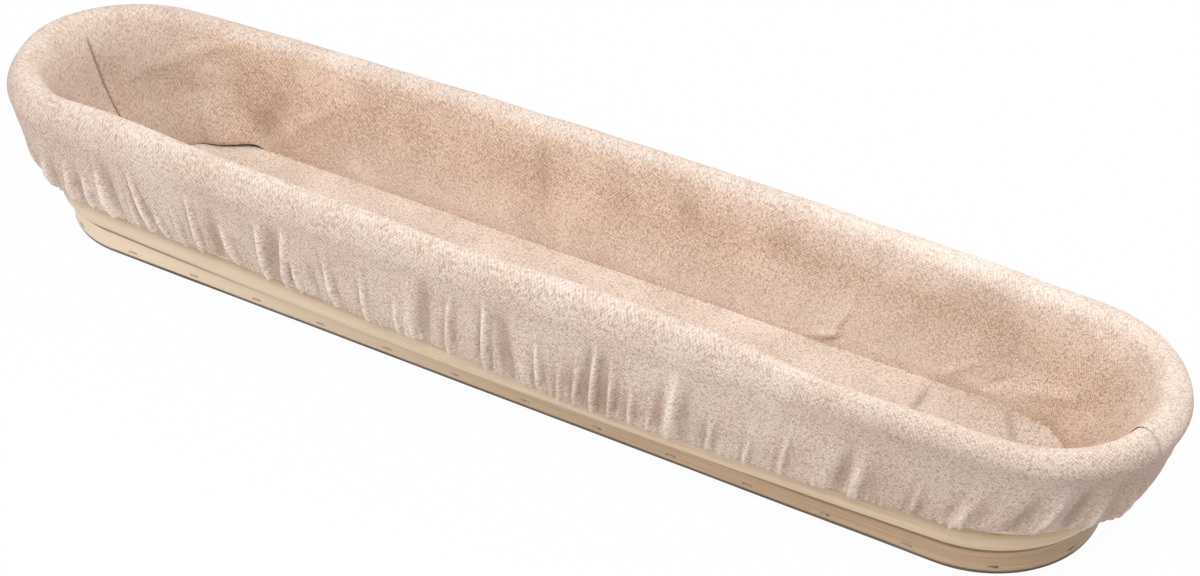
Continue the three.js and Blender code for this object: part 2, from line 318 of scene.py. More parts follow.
@dataclass(frozen=True)
class CaneFinish:
    """Peeled cane: straw-coloured, with fine fibres and short dark pores along it, and painted light and
    shade.
    """

    name: str
    pale: Colour
    tan: Colour
    tan_at: float = 0.32
    pale_at: float = 0.66
    fibres: Grain = Grain(55 * MM, 0.35 * MM, 3.0)
    fibre_tone: float = 0.55
    bands: Grain = Grain(165 * MM, 2.1 * MM, 2.0, 4.0)
    band_tone: float = 0.45
    pores: Grain = Grain(8.8 * MM, 0.28 * MM, 1.0, 9.0)
    pore_range: tuple[float, float] = (0.66, 0.76)
    # Colour of the pores, which also paints the shadow line under the lowest turn
    pore_and_shadow: Colour = (0.30, 0.19, 0.10)
    pore_tint: float = 0.55
    pore_depth: float = 0.6
    pore_roughness: float = 0.2
    roughness: float = 0.5
    gloss: float = 0.35
    relief: float = 0.08 * MM
    # Painted contact shadow along the lower edge of the foot band, where it meets the table
    foot_shadow: Colour = (0.10, 0.08, 0.06)
    foot_shadow_height: float = 0.0
    foot_shadow_full: float = 0.6
    # Painted light: towards the -X end, where the light falls strongest, the cane's grain gives way to this
    # one tone
    end_light: Colour = (0.87, 0.72, 0.56)
    end_light_share: float = 0.8
    end_light_from: float = 50 * MM
    end_light_to: float = -170 * MM
    # Painted shadow line under the lowest turn, where it overhangs the foot band; it rises and deepens
    # towards each end
    turn_shadow: float = 0.0
    turn_shadow_edge: float = 0.5 * MM
    turn_shadow_rise: float = 3 * MM
    turn_shadow_depth: float = 0.9 * MM
    turn_shadow_tint: float = 0.3
    turn_shadow_end_tint: float = 0.6
    rising: tuple[float, float] = (52 * MM, 187 * MM)
    far_rising: tuple[float, float] = (-175 * MM, -88 * MM)
    deepening: tuple[float, float] = (80 * MM, 125 * MM)
    far_deepening: tuple[float, float] = (-150 * MM, -90 * MM)

    def material(self) -> bpy.types.Material:
        """Make the material on the cane's own coordinates.

        Returns:
            The material.
        """
        bench, material = Bench.of_material(self.name)
        along, across = bench.lay()
        fibres = self.fibres.over(along, across)
        bands = self.bands.over(along, across)
        pores = self.pores.over(along, across).rise(*self.pore_range)
        tone = fibres * self.fibre_tone + bands * self.band_tone
        stops = [(self.tan_at, self.tan), (self.pale_at, self.pale)]
        body = bench.node("ShaderNodeValToRGB", {"stops": stops}, {"Fac": tone})
        colour = bench.mix(pores * self.pore_tint, body, opaque(self.pore_and_shadow))
        place = {"Vector": bench.node("ShaderNodeTexCoord", {}, {}, "Object")}
        length = bench.node("ShaderNodeSeparateXYZ", {}, place, "X")
        # Painted light towards the -X end
        end_light_mask = 1 - length.rise(self.end_light_to, self.end_light_from)
        colour = bench.mix(end_light_mask * self.end_light_share, colour, opaque(self.end_light))
        # Painted contact shadow at the foot and painted shadow line under the lowest turn
        if self.foot_shadow_height:
            height = bench.node("ShaderNodeSeparateXYZ", {}, place, "Z")
            colour = self.edged(bench, colour, length, height)
        rough = self.roughness + self.pore_roughness * pores
        sockets = {"Base Color": colour, "Roughness": rough, "Specular IOR Level": self.gloss}
        bench.dress(sockets, fibres - self.pore_depth * pores, self.relief)
        return material

    def edged(self, bench: Bench, colour: Shade, length: Shade, height: Shade) -> Shade:
        """Paint shade on a band of cane: a contact shadow at its foot and a shadow line under the lowest
        turn.

        Args:
            bench: The material's nodes.
            colour: The cane's colour.
            length: Place along the basket.
            height: Height over the table.

        Returns:
            The colour with both painted shadows.
        """
        # Painted contact shadow at the foot
        foot_shadow = 1 - height.rise(self.foot_shadow_full * self.foot_shadow_height, self.foot_shadow_height)
        colour = bench.mix(foot_shadow, colour, opaque(self.foot_shadow))
        # Painted shadow line under the lowest turn, where the turn hides the band's top
        raised = length.rise(*self.rising) + (1 - length.rise(*self.far_rising))
        ends = length.rise(*self.deepening) + (1 - length.rise(*self.far_deepening))
        under = height - self.turn_shadow_rise * raised + self.turn_shadow_depth * ends
        tint = self.turn_shadow_tint + self.turn_shadow_end_tint * ends
        turn_shadow = tint * under.rise(self.turn_shadow - self.turn_shadow_edge, self.turn_shadow)
        return bench.mix(turn_shadow, colour, opaque(self.pore_and_shadow))


@dataclass(frozen=True)
class LinenFinish:
    """Undyed plain-weave linen of uneven thread, lighter and warmer inside, which is painted bounce light,
    with painted highlights and painted shade where its masks are set.

    The grains of its stray and its fuzz are measured in threads.
    """

    name: str
    # The inside colour is painted bounce light, lighter and warmer than the outside
    inside: Colour
    outside: Colour
    greyed: Colour
    pit: Colour
    deep_pit: Colour = (0.49, 0.43, 0.38)
    # Colour of painted light, and of the pits under it
    painted_light: Colour = (0.95, 0.82, 0.73)
    painted_light_pit: Colour = (0.64, 0.60, 0.57)
    # Colour of painted shade, and of the dark line at the floor's seam
    shade_colour: Colour = (0.34, 0.26, 0.21)
    thread: float = 0.62 * MM
    warp_stray: Grain = Grain(9, 9, 1.0, 2.0)
    weft_stray: Grain = Grain(9, 9, 1.0, 3.0)
    stray: float = 2.0
    fuzz: Grain = Grain(1.4, 1.4, 3.0, 11.0)
    speck: float = 0.75 * MM
    speck_range: tuple[float, float] = (0.2, 0.36)
    blotch: float = 24 * MM
    blotch_seed: float = 13.0
    grey_range: tuple[float, float] = (0.4, 0.62)
    crisp: float = 0.14
    ground: float = 0.28
    weave_tone: float = 0.2
    fuzz_tone: float = 1.5
    speck_tone: float = 0.24
    patch_tone: float = 0.6
    full_tone: float = 1.1
    roughness: float = 0.92
    gloss: float = 0.2
    sheen: float = 0.05
    sheen_roughness: float = 0.6
    sheen_tint: Colour = (1.0, 0.85, 0.72)
    relief: float = 0.22 * MM
    weave_height: float = 0.25
    fuzz_height: float = 1.2
    speck_depth: float = 0.2

    def material(self) -> bpy.types.Material:
        """Make the material on the cloth's own warp and weft.

        Returns:
            The material.
        """
        bench, material = Bench.of_material(self.name)
        along, across = bench.lay()
        along, across = along / self.thread, across / self.thread
        warp = along + self.stray * (self.warp_stray.over(along, across) - 0.5)
        weft = across + self.stray * (self.weft_stray.over(along, across) - 0.5)
        weave = (warp * math.pi).sine() * (weft * math.pi).sine()
        fuzz = self.fuzz.over(along, across) - 0.5
        speck = self.speck / self.thread
        place = bench.node("ShaderNodeCombineXYZ", {}, {"X": along / speck, "Y": across / speck})
        spots = {"Vector": place, "Scale": 1.0}
        chance = bench.node("ShaderNodeTexVoronoi", {"voronoi_dimensions": "2D"}, spots, "Color")
        dark = 1 - chance.rise(*self.speck_range)
        blotch = self.blotch / self.thread
        patch = Grain(blotch, blotch, seed=self.blotch_seed).over(along, across)
        # Painted bounce light: cloth facing into the basket takes the lighter, warmer inside colour
        inner = bench.node("ShaderNodeAttribute", {"attribute_name": Skin.INSIDE}, {}, "Fac")
        outside_tone = bench.mix(patch.rise(*self.grey_range), opaque(self.outside), opaque(self.greyed))
        thread = bench.mix(inner, outside_tone, opaque(self.inside))
        # Painted light: the cloth turns paler where its mask is set
        painted_light = bench.node("ShaderNodeAttribute", {"attribute_name": Skin.PAINTED_LIGHT}, {}, "Fac")
        thread = bench.mix(painted_light, thread, opaque(self.painted_light))
        # Painted shade: the cloth turns darker where its mask is set
        seam = bench.node("ShaderNodeAttribute", {"attribute_name": Skin.PAINTED_SHADE}, {}, "Fac")
        tone = self.ground + self.weave_tone * weave + self.fuzz_tone * fuzz
        tone = tone - self.speck_tone * dark + self.patch_tone * patch
        pit = bench.mix(inner, opaque(self.pit), opaque(self.deep_pit))
        # Under painted light the pits turn paler too
        pit = bench.mix(painted_light, pit, opaque(self.painted_light_pit))
        crisp = self.crisp * inner
        shade = bench.mix(tone.rise(crisp, self.full_tone - crisp), pit, opaque((1.0, 1.0, 1.0)))
        shade = bench.mix(seam, shade, opaque(self.shade_colour))
        colour = bench.mix(1.0, thread, shade, "MULTIPLY")
        sockets = {
            "Base Color": colour,
            "Roughness": self.roughness,
            "Specular IOR Level": self.gloss,
            "Sheen Weight": self.sheen,
            "Sheen Roughness": self.sheen_roughness,
            "Sheen Tint": opaque(self.sheen_tint),
        }
        height = self.weave_height * weave + self.fuzz_height * fuzz - self.speck_depth * dark
        bench.dress(sockets, height, self.relief)
        return material


@dataclass(frozen=True)
class ElasticFinish:
    """Off-white flat elastic with ribs across it."""

    name: str
    yarn: Colour
    groove: Colour
    rib: float = 1.1 * MM
    strand: float = 0.6 * MM
    fuzz_detail: float = 3.0
    rib_height: float = 0.3
    strand_height: float = 0.2
    fuzz_height: float = 0.5
    height_range: tuple[float, float] = (-0.3, 0.7)
    roughness: float = 0.85
    sheen: float = 0.2
    relief: float = 0.2 * MM

    def material(self) -> bpy.types.Material:
        """Make the material on the band's own coordinates.

        Returns:
            The material.
        """
        bench, material = Bench.of_material(self.name)
        along, across = bench.lay()
        ribs = (along * (2 * math.pi / self.rib)).sine()
        strands = (across * (2 * math.pi / self.strand)).sine()
        fuzz = Grain(self.rib, self.strand, self.fuzz_detail).over(along, across)
        height = self.rib_height * ribs + self.strand_height * strands + self.fuzz_height * fuzz
        relief = height.rise(*self.height_range)
        colour = bench.mix(relief, opaque(self.groove), opaque(self.yarn))
        sockets = {"Base Color": colour, "Roughness": self.roughness, "Sheen Weight": self.sheen}
        bench.dress(sockets, relief, self.relief)
        return material


@dataclass(frozen=True)
class WireFinish:
    """Dull steel wire with brown tarnish."""

    name: str
    steel: Colour
    tarnish: Colour
    dust: Colour = (0.58, 0.45, 0.32)
    dust_tint: float = 0.6
    dusty: tuple[float, float] = (-30 * MM, 90 * MM)
    patch: float = 1.5 * MM
    patch_detail: float = 3.0
    tarnish_range: tuple[float, float] = (0.42, 0.62)
    tarnish_cover: float = 0.6
    tarnish_roughness: float = 0.3
    roughness: float = 0.4
    relief: float = 0.05 * MM

    def material(self) -> bpy.types.Material:
        """Make the material on the object's own place.

        Returns:
            The material.
        """
        bench, material = Bench.of_material(self.name)
        place = bench.node("ShaderNodeTexCoord", {}, {}, "Object")
        lumps = {"Vector": place, "Scale": 1 / self.patch, "Detail": self.patch_detail}
        spots = bench.node("ShaderNodeTexNoise", {}, lumps)
        tarnished = spots.rise(*self.tarnish_range)
        colour = bench.mix(tarnished, opaque(self.steel), opaque(self.tarnish))
        length = bench.node("ShaderNodeSeparateXYZ", {}, {"Vector": place}, "X")
        dust = self.dust_tint * (1 - length.rise(*self.dusty))
        colour = bench.mix(dust, colour, opaque(self.dust))
        bare = (1 - self.tarnish_cover * tarnished) * (1 - dust)
        rough = self.roughness + self.tarnish_roughness * tarnished
        bench.dress({"Base Color": colour, "Roughness": rough, "Metallic": bare}, spots, self.relief)
        return material


BAND_CANE = CaneFinish(
    "band_cane",
    pale=(0.59, 0.42, 0.28),
    tan=(0.39, 0.255, 0.15),
    # Painted contact shadow at the foot, painted light towards the -X end and a painted shadow line under
    # the lowest turn
    foot_shadow_height=2.5 * MM,
    end_light_from=125 * MM,
    turn_shadow=7.6 * MM,
)
WOUND_CANE = CaneFinish(
    "wound_cane",
    pale=(0.77, 0.615, 0.45),
    tan=(0.60, 0.445, 0.29),
    # Painted light: the one tone towards the -X end
    end_light=(0.69, 0.555, 0.42),
)
LINEN = LinenFinish(
    "linen",
    # The lighter, warmer inside colour is painted bounce light
    inside=(0.89, 0.685, 0.545),
    outside=(0.78, 0.63, 0.545),
    greyed=(0.74, 0.62, 0.54),
    pit=(0.52, 0.47, 0.43),
)
FLOOR_LINEN = replace(
    LINEN,
    name="floor_linen",
    # A paler inside colour for the floor: painted light from above
    inside=(0.96, 0.82, 0.725),
    deep_pit=(0.54, 0.49, 0.45),
    crisp=0.0,
)
ELASTIC = ElasticFinish("elastic", (0.84, 0.81, 0.76), (0.55, 0.52, 0.48))
WIRE = WireFinish("wire", (0.38, 0.34, 0.29), (0.19, 0.135, 0.09))


# Forms


class Skin:
    """Names of the coordinates and the masks that a piece's mesh carries for its material."""

    LAY = "lay"
    # Share of the inside colour, which is painted bounce light
    INSIDE = "inside"
    # Mask of painted shade, and of the dark line at the floor's seam
    PAINTED_SHADE = "seam"
    # Mask of painted light
    PAINTED_LIGHT = "painted_light"


@dataclass(frozen=True)
class Point:
    """A point of a piece, with its place on the material and what marks it there.

    Inside is 1 on cloth that faces into the basket, which takes the inside colour, painted bounce light;
    seam is 1 where shade is painted, in seams, creases, hollows and towards the ends, and on the dark line
    at the floor's seam; and the last mask is 1 where light is painted on the cloth.
    """

    place: Vector
    along: float
    across: float
    inside: float = 0.0
    seam: float = 0.0
    painted_light: float = 0.0


def smooth(x: float) -> float:
    """Climb smoothly from 0 at 0 to 1 at 1, and stay there outside."""
    held = min(1.0, max(0.0, x))
    return held * held * (3 - 2 * held)


def unsmooth(y: float) -> float:
    """Give where smooth() reaches y."""
    return 1 / 2 - math.sin(math.asin(1 - 2 * y) / 3)


def waver(along: float, across: float, seed: float) -> float:
    """Give soft noise between about -1 and 1 over two coordinates."""
    return noise.noise(Vector((along, across, seed)))


@dataclass(frozen=True)
class Ripple:
    """Soft unevenness: how far it stands out, how long its waves are each way, and its seed."""

    height: float
    along: float
    across: float
    seed: float

    def out(self, along: float, across: float = 0.0) -> float:
        """Give how far it stands out at a place, in the units that its sizes have."""
        return self.height * waver(along / self.along, across / self.across, self.seed)


def total(ripples: tuple[Ripple, ...], along: float, across: float = 0.0) -> float:
    """Add up how far some ripples stand out at a place."""
    return sum(ripple.out(along, across) for ripple in ripples)


def keep(bm: bmesh.types.BMesh, name: str) -> bpy.types.Object:
    """Turn a bmesh into an object at the origin, shaded smooth.

    Args:
        bm: The finished bmesh, which is freed.
        name: The piece's name.

    Returns:
        The piece's object.
    """
    for face in bm.faces:
        face.smooth = True
    mesh = bpy.data.meshes.new(name)
    bm.to_mesh(mesh)
    bm.free()
    piece = bpy.data.objects.new(name, mesh)
    bpy.context.scene.collection.objects.link(piece)
    return piece


def surface(
    name: str,
    columns: int,
    rows: int,
    place: Callable[[float, float], Point],
    tube: bool = False,
    ring: bool = False,
) -> bpy.types.Object:
    """Bend a flat grid into a piece.

    Args:
        name: The piece's name.
        columns: Faces along it.
        rows: Faces across it, or round it.
        place: Gives the point at two shares of the grid.
        tube: Whether the rows close on themselves.
        ring: Whether the columns do.

    Returns:
        The piece's object, at the origin.
    """
    bm = bmesh.new()
    bmesh.ops.create_grid(bm, x_segments=columns, y_segments=rows, size=0.5)
    lay = bm.loops.layers.uv.new(Skin.LAY)
    # Masks of the inside colour, painted bounce light, of painted shade and the floor seam's dark line, and
    # of painted light
    inside = bm.verts.layers.float.new(Skin.INSIDE)
    seam = bm.verts.layers.float.new(Skin.PAINTED_SHADE)
    painted_light = bm.verts.layers.float.new(Skin.PAINTED_LIGHT)
    for vert in bm.verts:
        point = place(vert.co.x + 0.5, vert.co.y + 0.5)
        vert.co = point.place
        vert[inside] = point.inside
        vert[seam] = point.seam
        vert[painted_light] = point.painted_light
        for loop in vert.link_loops:
            loop[lay].uv = (point.along, point.across)
    if tube or ring:
        bmesh.ops.remove_doubles(bm, verts=bm.verts, dist=WELD)
    if tube:
        ends = [edge for edge in bm.edges if edge.is_boundary]
        bmesh.ops.holes_fill(bm, edges=ends, sides=0)
        bmesh.ops.recalc_face_normals(bm, faces=bm.faces)
    return keep(bm, name)


def settle(
    piece: bpy.types.Object, body: Body, slot: Slot, look: bpy.types.Material, *nodes: str
) -> None:
    """Give a piece its finish, let it ride on its body and stand for its solids.

    Args:
        piece: The piece's object.
        body: The body that it moves with.
        slot: The record's slot of its material; not used.
        look: Its finish.
        nodes: The solids that it stands for.
    """
    piece.data.materials.append(look)
    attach(piece, body.value)
    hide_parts(*nodes)
    LOG.info("%s: %d faces, stands for %s", piece.name, len(piece.data.polygons), ", ".join(nodes))


@dataclass(frozen=True)
class Oval:
    """Oval of four tangent arcs, whose sides swell past its end arcs by its bow."""

    length: float
    width: float
    bow: float

    @cached_property
    def end_radius(self) -> float:
        """Radius of the end arcs."""
        return self.width / 2 - self.bow

    @cached_property
    def end_x(self) -> float:
        """How far the end arcs' centres lie from the middle."""
        return self.length / 2 - self.end_radius

    @cached_property
    def side_radius(self) -> float:
        """Radius of the side arcs."""
        half = self.width / 2
        return (self.end_x**2 + half**2 - self.end_radius**2) / (2 * self.bow)

    @cached_property
    def side_angle(self) -> float:
        """Angle of half a side arc."""
        return math.asin(self.end_x / (self.side_radius - self.end_radius))

    @cached_property
    def end_angle(self) -> float:
        """Angle of half an end arc."""
        return math.pi / 2 - self.side_angle

    @cached_property
    def quarter(self) -> float:
        """Length of a quarter of the way round."""
        return self.end_radius * self.end_angle + self.side_radius * self.side_angle

    @cached_property
    def end_share(self) -> float:
        """Share of a quarter that is end arc."""
        return self.end_radius * self.end_angle / self.quarter

    @cached_property
    def perimeter(self) -> float:
        """Length all the way round."""
        return 4 * self.quarter

    def inset(self, distance: float) -> Oval:
        """Give the oval that lies this far inside."""
        return Oval(self.length - 2 * distance, self.width - 2 * distance, self.bow)

    def at(self, share: float, end_share: float | None = None) -> tuple[Vector, Vector]:
        """Find a point of the oval.

        Args:
            share: Share of the way round, from the +X tip towards +Y.
            end_share: Share of a quarter that its end arc takes up, if not its own.

        Returns:
            The point and the outward normal.
        """
        end_share = self.end_share if end_share is None else end_share
        step = 4 * (share - math.floor(share))
        quarter = min(3, math.floor(step))
        along = quarter + 1 - step if quarter % 2 else step - quarter
        if along < end_share:
            angle = self.end_angle * along / end_share
            normal = Vector((math.cos(angle), math.sin(angle), 0))
            point = normal * self.end_radius + Vector((self.end_x, 0, 0))
        else:
            angle = self.side_angle * (1 - along) / (1 - end_share)
            normal = Vector((math.sin(angle), math.cos(angle), 0))
            point = normal * self.side_radius + Vector((0, self.width / 2 - self.side_radius, 0))
        mirror = Vector((-1 if quarter in (1, 2) else 1, -1 if quarter > 1 else 1, 1))
        return point * mirror, normal * mirror


@dataclass(frozen=True)
class Station:
    """The wall's slope at one place round the basket."""

    foot: Vector
    up: Vector
    out: Vector
    slope: float

    def point(self, outward: float, height: float) -> Vector:
        """Give a point this far out of the wall's middle and this far up its slope."""
        return self.foot + self.out * outward + self.up * height


@dataclass(frozen=True)
class Foot:
    """Sizes of the foot band, over its outer face."""

    oval: Oval = Oval(405 * MM, 77 * MM, 0.1 * MM)
    height: float = 11 * MM
    thickness: float = 7.5 * MM
    edge: float = 1.6 * MM
    scarf: float = 24 * MM
    joint: float = 0.12 * MM


@dataclass(frozen=True)
class Wall:
    """Sizes of the wound wall, over its lowest and its top turn."""

    foot: Foot = Foot()
    cane: float = 8.7 * MM
    turns: int = 5
    low: Oval = Oval(411 * MM, 90.5 * MM, 3.8 * MM)
    rim: Oval = Oval(446.8 * MM, 96.4 * MM, 4.5 * MM)
    seat: float = 0.3 * MM
    gap: float = 0.42 * MM

    @cached_property
    def radius(self) -> float:
        """Radius of the cane."""
        return self.cane / 2

    @cached_property
    def low_middle(self) -> Oval:
        """Oval through the middle of the lowest turn."""
        return self.low.inset(self.radius)

    @cached_property
    def rim_middle(self) -> Oval:
        """Oval through the middle of the top turn."""
        return self.rim.inset(self.radius)

    @cached_property
    def low_z(self) -> float:
        """Height of the lowest turn's middle."""
        return self.foot.height + self.seat + self.radius

    @cached_property
    def rim_z(self) -> float:
        """Height of the top turn's middle."""
        return self.low_z + (self.turns - 1) * (self.cane + self.gap)

    def at(self, share: float) -> Station:
        """Give the wall's slope at a share of the way round.

        Args:
            share: Share of the way round, from the +X tip towards +Y.

        Returns:
            The slope there, from the lowest turn's middle to the top turn's.
        """
        end_share = self.rim_middle.end_share
        low, low_normal = self.low_middle.at(share, end_share)
        rim, rim_normal = self.rim_middle.at(share, end_share)
        foot = low + UP * self.low_z
        rise = rim + UP * self.rim_z - foot
        up = rise.normalized()
        flat = (low_normal + rim_normal).normalized()
        out = (flat - up * flat.dot(up)).normalized()
        return Station(foot, up, out, rise.length)


# Cane


@dataclass
class FootBand:
    """The flat cane that the basket stands on, bent to an oval and scarfed at the back."""

    foot: Foot
    columns: int = 1100
    rows: int = 32
    staples: int = 32
    staple_height: float = 3.6 * MM
    uneven: Ripple = Ripple(0.12 * MM, 30 * MM, 1 / 3, 1.0)
    side_grain: float = 4.0
    dent: float = 0.3 * MM
    dent_width: float = 1.9 * MM
    dent_height: float = 0.6 * MM

    def section(self, share: float) -> tuple[float, float]:
        """Give the depth and the height at a share of the way round the band's section.

        Args:
            share: Share of the way round, from the top of the outer face.

        Returns:
            Depth from the outer face, and height over the table.
        """
        foot = self.foot
        flat = foot.thickness - 2 * foot.edge
        tall = foot.height - 2 * foot.edge
        arc = foot.edge * math.pi / 2
        left = share * (2 * flat + 2 * tall + 4 * arc)
        near, deep = foot.edge, foot.thickness - foot.edge
        low, high = foot.edge, foot.height - foot.edge
        corners = (
            (near, high, math.pi),
            (deep, high, math.pi / 2),
            (deep, low, 0.0),
            (near, low, -math.pi / 2),
        )
        runs = (tall, flat, tall, flat)
        for (depth, height, turn), run in zip(corners, runs):
            way = Vector((math.cos(turn + math.pi / 2), math.sin(turn + math.pi / 2)))
            side = Vector((math.cos(turn), math.sin(turn))) * foot.edge
            if left <= run:
                spot = Vector((depth, height)) + side + way * (run - left)
                return spot.x, spot.y
            left -= run
            if left <= arc:
                angle = turn - left / foot.edge
                return depth + foot.edge * math.cos(angle), height + foot.edge * math.sin(angle)
            left -= arc
        return near - foot.edge, low

    def pressed(self, share: float, height: float) -> float:
        """Give how deep the staples press the outer face in at a place.

        Args:
            share: Share of the way round the basket.
            height: Height over the table.

        Returns:
            The depth of the dent.
        """
        step = (share - BACK) * self.staples - 0.5
        aside = (step - round(step)) / self.staples * self.foot.oval.perimeter
        near = (aside / self.dent_width) ** 4 + ((height - self.staple_height) / self.dent_height) ** 2
        return self.dent * math.exp(-near)

    def build(self) -> None:
        """Make the band and dress it."""
        foot = self.foot
        slant = foot.scarf / foot.oval.perimeter
        fade = 2 * slant
        start = foot.joint / foot.oval.perimeter

        def place(along: float, around: float) -> Point:
            """Place a point of the band.

            Args:
                along: Share of the band's length.
                around: Share of the way round its section.

            Returns:
                The point.
            """
            depth, height = self.section(around)
            share = start + along * (1 - 2 * start)
            lean = slant * max(0.0, 1 - min(share, 1 - share) / fade)
            spot = BACK + share + lean * (depth / foot.thickness - 1 / 2)
            point, normal = foot.oval.inset(depth).at(spot, foot.oval.end_share)
            length = share * foot.oval.perimeter
            uneven = self.uneven.out(length, around)
            if depth < foot.edge:
                uneven -= self.pressed(spot, height)
            grain = height + self.side_grain * depth
            return Point(point + normal * uneven + UP * height, length, grain)

        band = surface("foot_band", self.columns, self.rows, place, tube=True)
        settle(band, Body.BASKET, Slot.CANE, BAND_CANE.material(), "foot_ring")


@dataclass(frozen=True)
class Turn:
    """A place on a wound cane: its middle, the way its turns stack, and the way across them."""

    middle: Vector
    stack: Vector
    across: Vector
    pitch: float


@dataclass
class Winding:
    """One cane wound in level turns, which steps to the next turn over a scarf and ends in wedges."""

    name: str
    node: str
    turns: int
    oval: Oval
    radius: float
    gap: float
    spot: Callable[[float, float], Turn]
    swell: float = 0.17 * MM
    uneven: float = 0.1 * MM
    uneven_length: float = 25 * MM
    uneven_round: float = 3.0
    fullest: float = 1.17
    scarf: float = 110 * MM
    tip: float = 0.6 * MM
    step: float = 3 * MM
    rows: int = 20

    def build(self, look: bpy.types.Material) -> None:
        """Make the wound cane and dress it.

        Args:
            look: Its finish.
        """
        scarf = self.scarf / self.oval.perimeter
        start = BACK - scarf / 2
        least = (self.gap + 2 * self.tip) / self.spot(start, 0).pitch
        first = scarf * unsmooth(least)
        last = self.turns + scarf - first
        columns = round((last - first) * self.oval.perimeter / self.step)

        def place(along: float, around: float) -> Point:
            """Place a point of the cane.

            Args:
                along: Share of the cane's length.
                around: Share of the way round it.

            Returns:
                The point.
            """
            at = first + along * (last - first)
            turn = math.floor(at)
            climb = smooth((at - turn) / scarf)
            lowest, highest = turn == 0, turn == self.turns
            level = 0.0 if lowest else self.turns - 1.0 if highest else turn - 1 + climb
            spot = self.spot(start + at, level)
            room = climb if lowest else 1 - climb if highest else 1.0
            half = min(self.fullest * self.radius, (room * spot.pitch - self.gap) / 2)
            thin = max(0.0, self.radius - half)
            side = -thin if lowest else thin if highest else 0.0
            shoulder = half * (1 - math.sqrt(1 / 2))
            wide = math.sqrt(2 * shoulder * (2 * self.radius - shoulder))
            angle = 2 * math.pi * around
            length = at * self.oval.perimeter
            aside, over = self.uneven_round * math.cos(angle), self.uneven_round * math.sin(angle)
            uneven = self.uneven * waver(length / self.uneven_length, aside, over + self.turns)
            grown = 1 + (self.swell + uneven) / self.radius
            centre = spot.middle + spot.stack * side
            round_it = spot.across * (wide * math.cos(angle)) + spot.stack * (half * math.sin(angle))
            return Point(centre + round_it * grown, length, around * 2 * math.pi * self.radius)

        cane = surface(self.name, columns, self.rows, place, tube=True)
        settle(cane, Body.BASKET, Slot.CANE, look, self.node)


@dataclass
class Cane:
    """The wound wall and base of the basket."""

    wall: Wall
    base_cane: float = 8.4 * MM
    base_lift: float = 2.2 * MM
    core_rounds: int = 8
    core_sides: int = 24
    core_middle: float = 0.01 * MM

    @cached_property
    def base_radius(self) -> float:
        """Radius of the base cane."""
        return self.base_cane / 2

    @cached_property
    def base_z(self) -> float:
        """Height of the base canes' middle."""
        return self.base_lift + self.base_radius

    @cached_property
    def base_turns(self) -> int:
        """Turns that fit between the core and the foot band."""
        return max(1, math.floor(self.base_reach / (self.base_cane + self.wall.gap)))

    @cached_property
    def base_reach(self) -> float:
        """How far the outermost base turn lies from the middle line."""
        foot = self.wall.foot
        return foot.oval.width / 2 - foot.thickness - self.wall.seat - self.base_radius

    @cached_property
    def base_oval(self) -> Oval:
        """Oval through the middle of the outermost base turn."""
        return self.wall.foot.oval.inset(self.wall.foot.thickness + self.wall.seat + self.base_radius)

    def wall_spot(self, share: float, level: float) -> Turn:
        """Give a place on the wall's winding.

        Args:
            share: Share of the way round.
            level: Turns up from the lowest one.

        Returns:
            The place.
        """
        station = self.wall.at(share)
        pitch = station.slope / (self.wall.turns - 1)
        return Turn(station.point(0, level * pitch), station.up, station.out, pitch)

    def base_spot(self, share: float, level: float) -> Turn:
        """Give a place on the base's winding.

        Args:
            share: Share of the way round.
            level: Turns out from the innermost one.

        Returns:
            The place.
        """
        pitch = self.base_reach / self.base_turns
        turn = self.base_oval.inset((self.base_turns - 1 - level) * pitch)
        point, normal = turn.at(share, self.base_oval.end_share)
        return Turn(point + UP * self.base_z, normal, -UP, pitch)

    def core(self, look: bpy.types.Material) -> None:
        """Make the straight cane in the middle of the base, rounded at both ends.

        Args:
            look: Its finish.
        """
        reach = self.base_oval.end_x
        radius = self.base_radius
        bm = bmesh.new()
        rounds = 2 * self.core_rounds
        bmesh.ops.create_uvsphere(bm, u_segments=self.core_sides, v_segments=rounds, radius=radius)
        lay = bm.loops.layers.uv.new(Skin.LAY)
        bmesh.ops.rotate(bm, verts=bm.verts, matrix=Quaternion((0, 1, 0), math.pi / 2).to_matrix())
        for vert in bm.verts:
            angle = math.atan2(vert.co.z, vert.co.y)
            stretch = math.copysign(reach, vert.co.x) if abs(vert.co.x) > self.core_middle else 0
            vert.co += Vector((stretch, 0, self.base_z))
            for loop in vert.link_loops:
                loop[lay].uv = (vert.co.x, angle * radius)
        settle(keep(bm, "base_heart"), Body.BASKET, Slot.CANE, look, "base_core")

    def build(self) -> None:
        """Make the wall, the base and its core, and dress them."""
        look = WOUND_CANE.material()
        wall = self.wall
        Winding(
            "wall_winding",
            "wall_coil",
            turns=wall.turns,
            oval=wall.rim_middle,
            radius=wall.radius,
            gap=wall.gap,
            spot=self.wall_spot,
        ).build(look)
        Winding(
            "base_winding",
            "base_coil",
            turns=self.base_turns,
            oval=self.base_oval,
            radius=self.base_radius,
            gap=wall.gap,
            spot=self.base_spot,
        ).build(look)
        self.core(look)


# Liner


@dataclass(frozen=True)
class Profile:
    """A size, in millimetres, or a share that changes smoothly along a panel.

    It is given at a few places along the panel, in millimetres.
    """

    stops: tuple[tuple[float, float], ...] = ((0.0, 0.0),)

    def at(self, along: float) -> float:
        """Give the size at a place along the panel.

        Args:
            along: Way along the panel, in millimetres.

        Returns:
            The size or share.
        """
        if along <= self.stops[0][0]:
            return self.stops[0][1]
        for (start, low), (end, high) in zip(self.stops, self.stops[1:]):
            if along <= end:
                return low + (high - low) * smooth((along - start) / (end - start))
        return self.stops[-1][1]


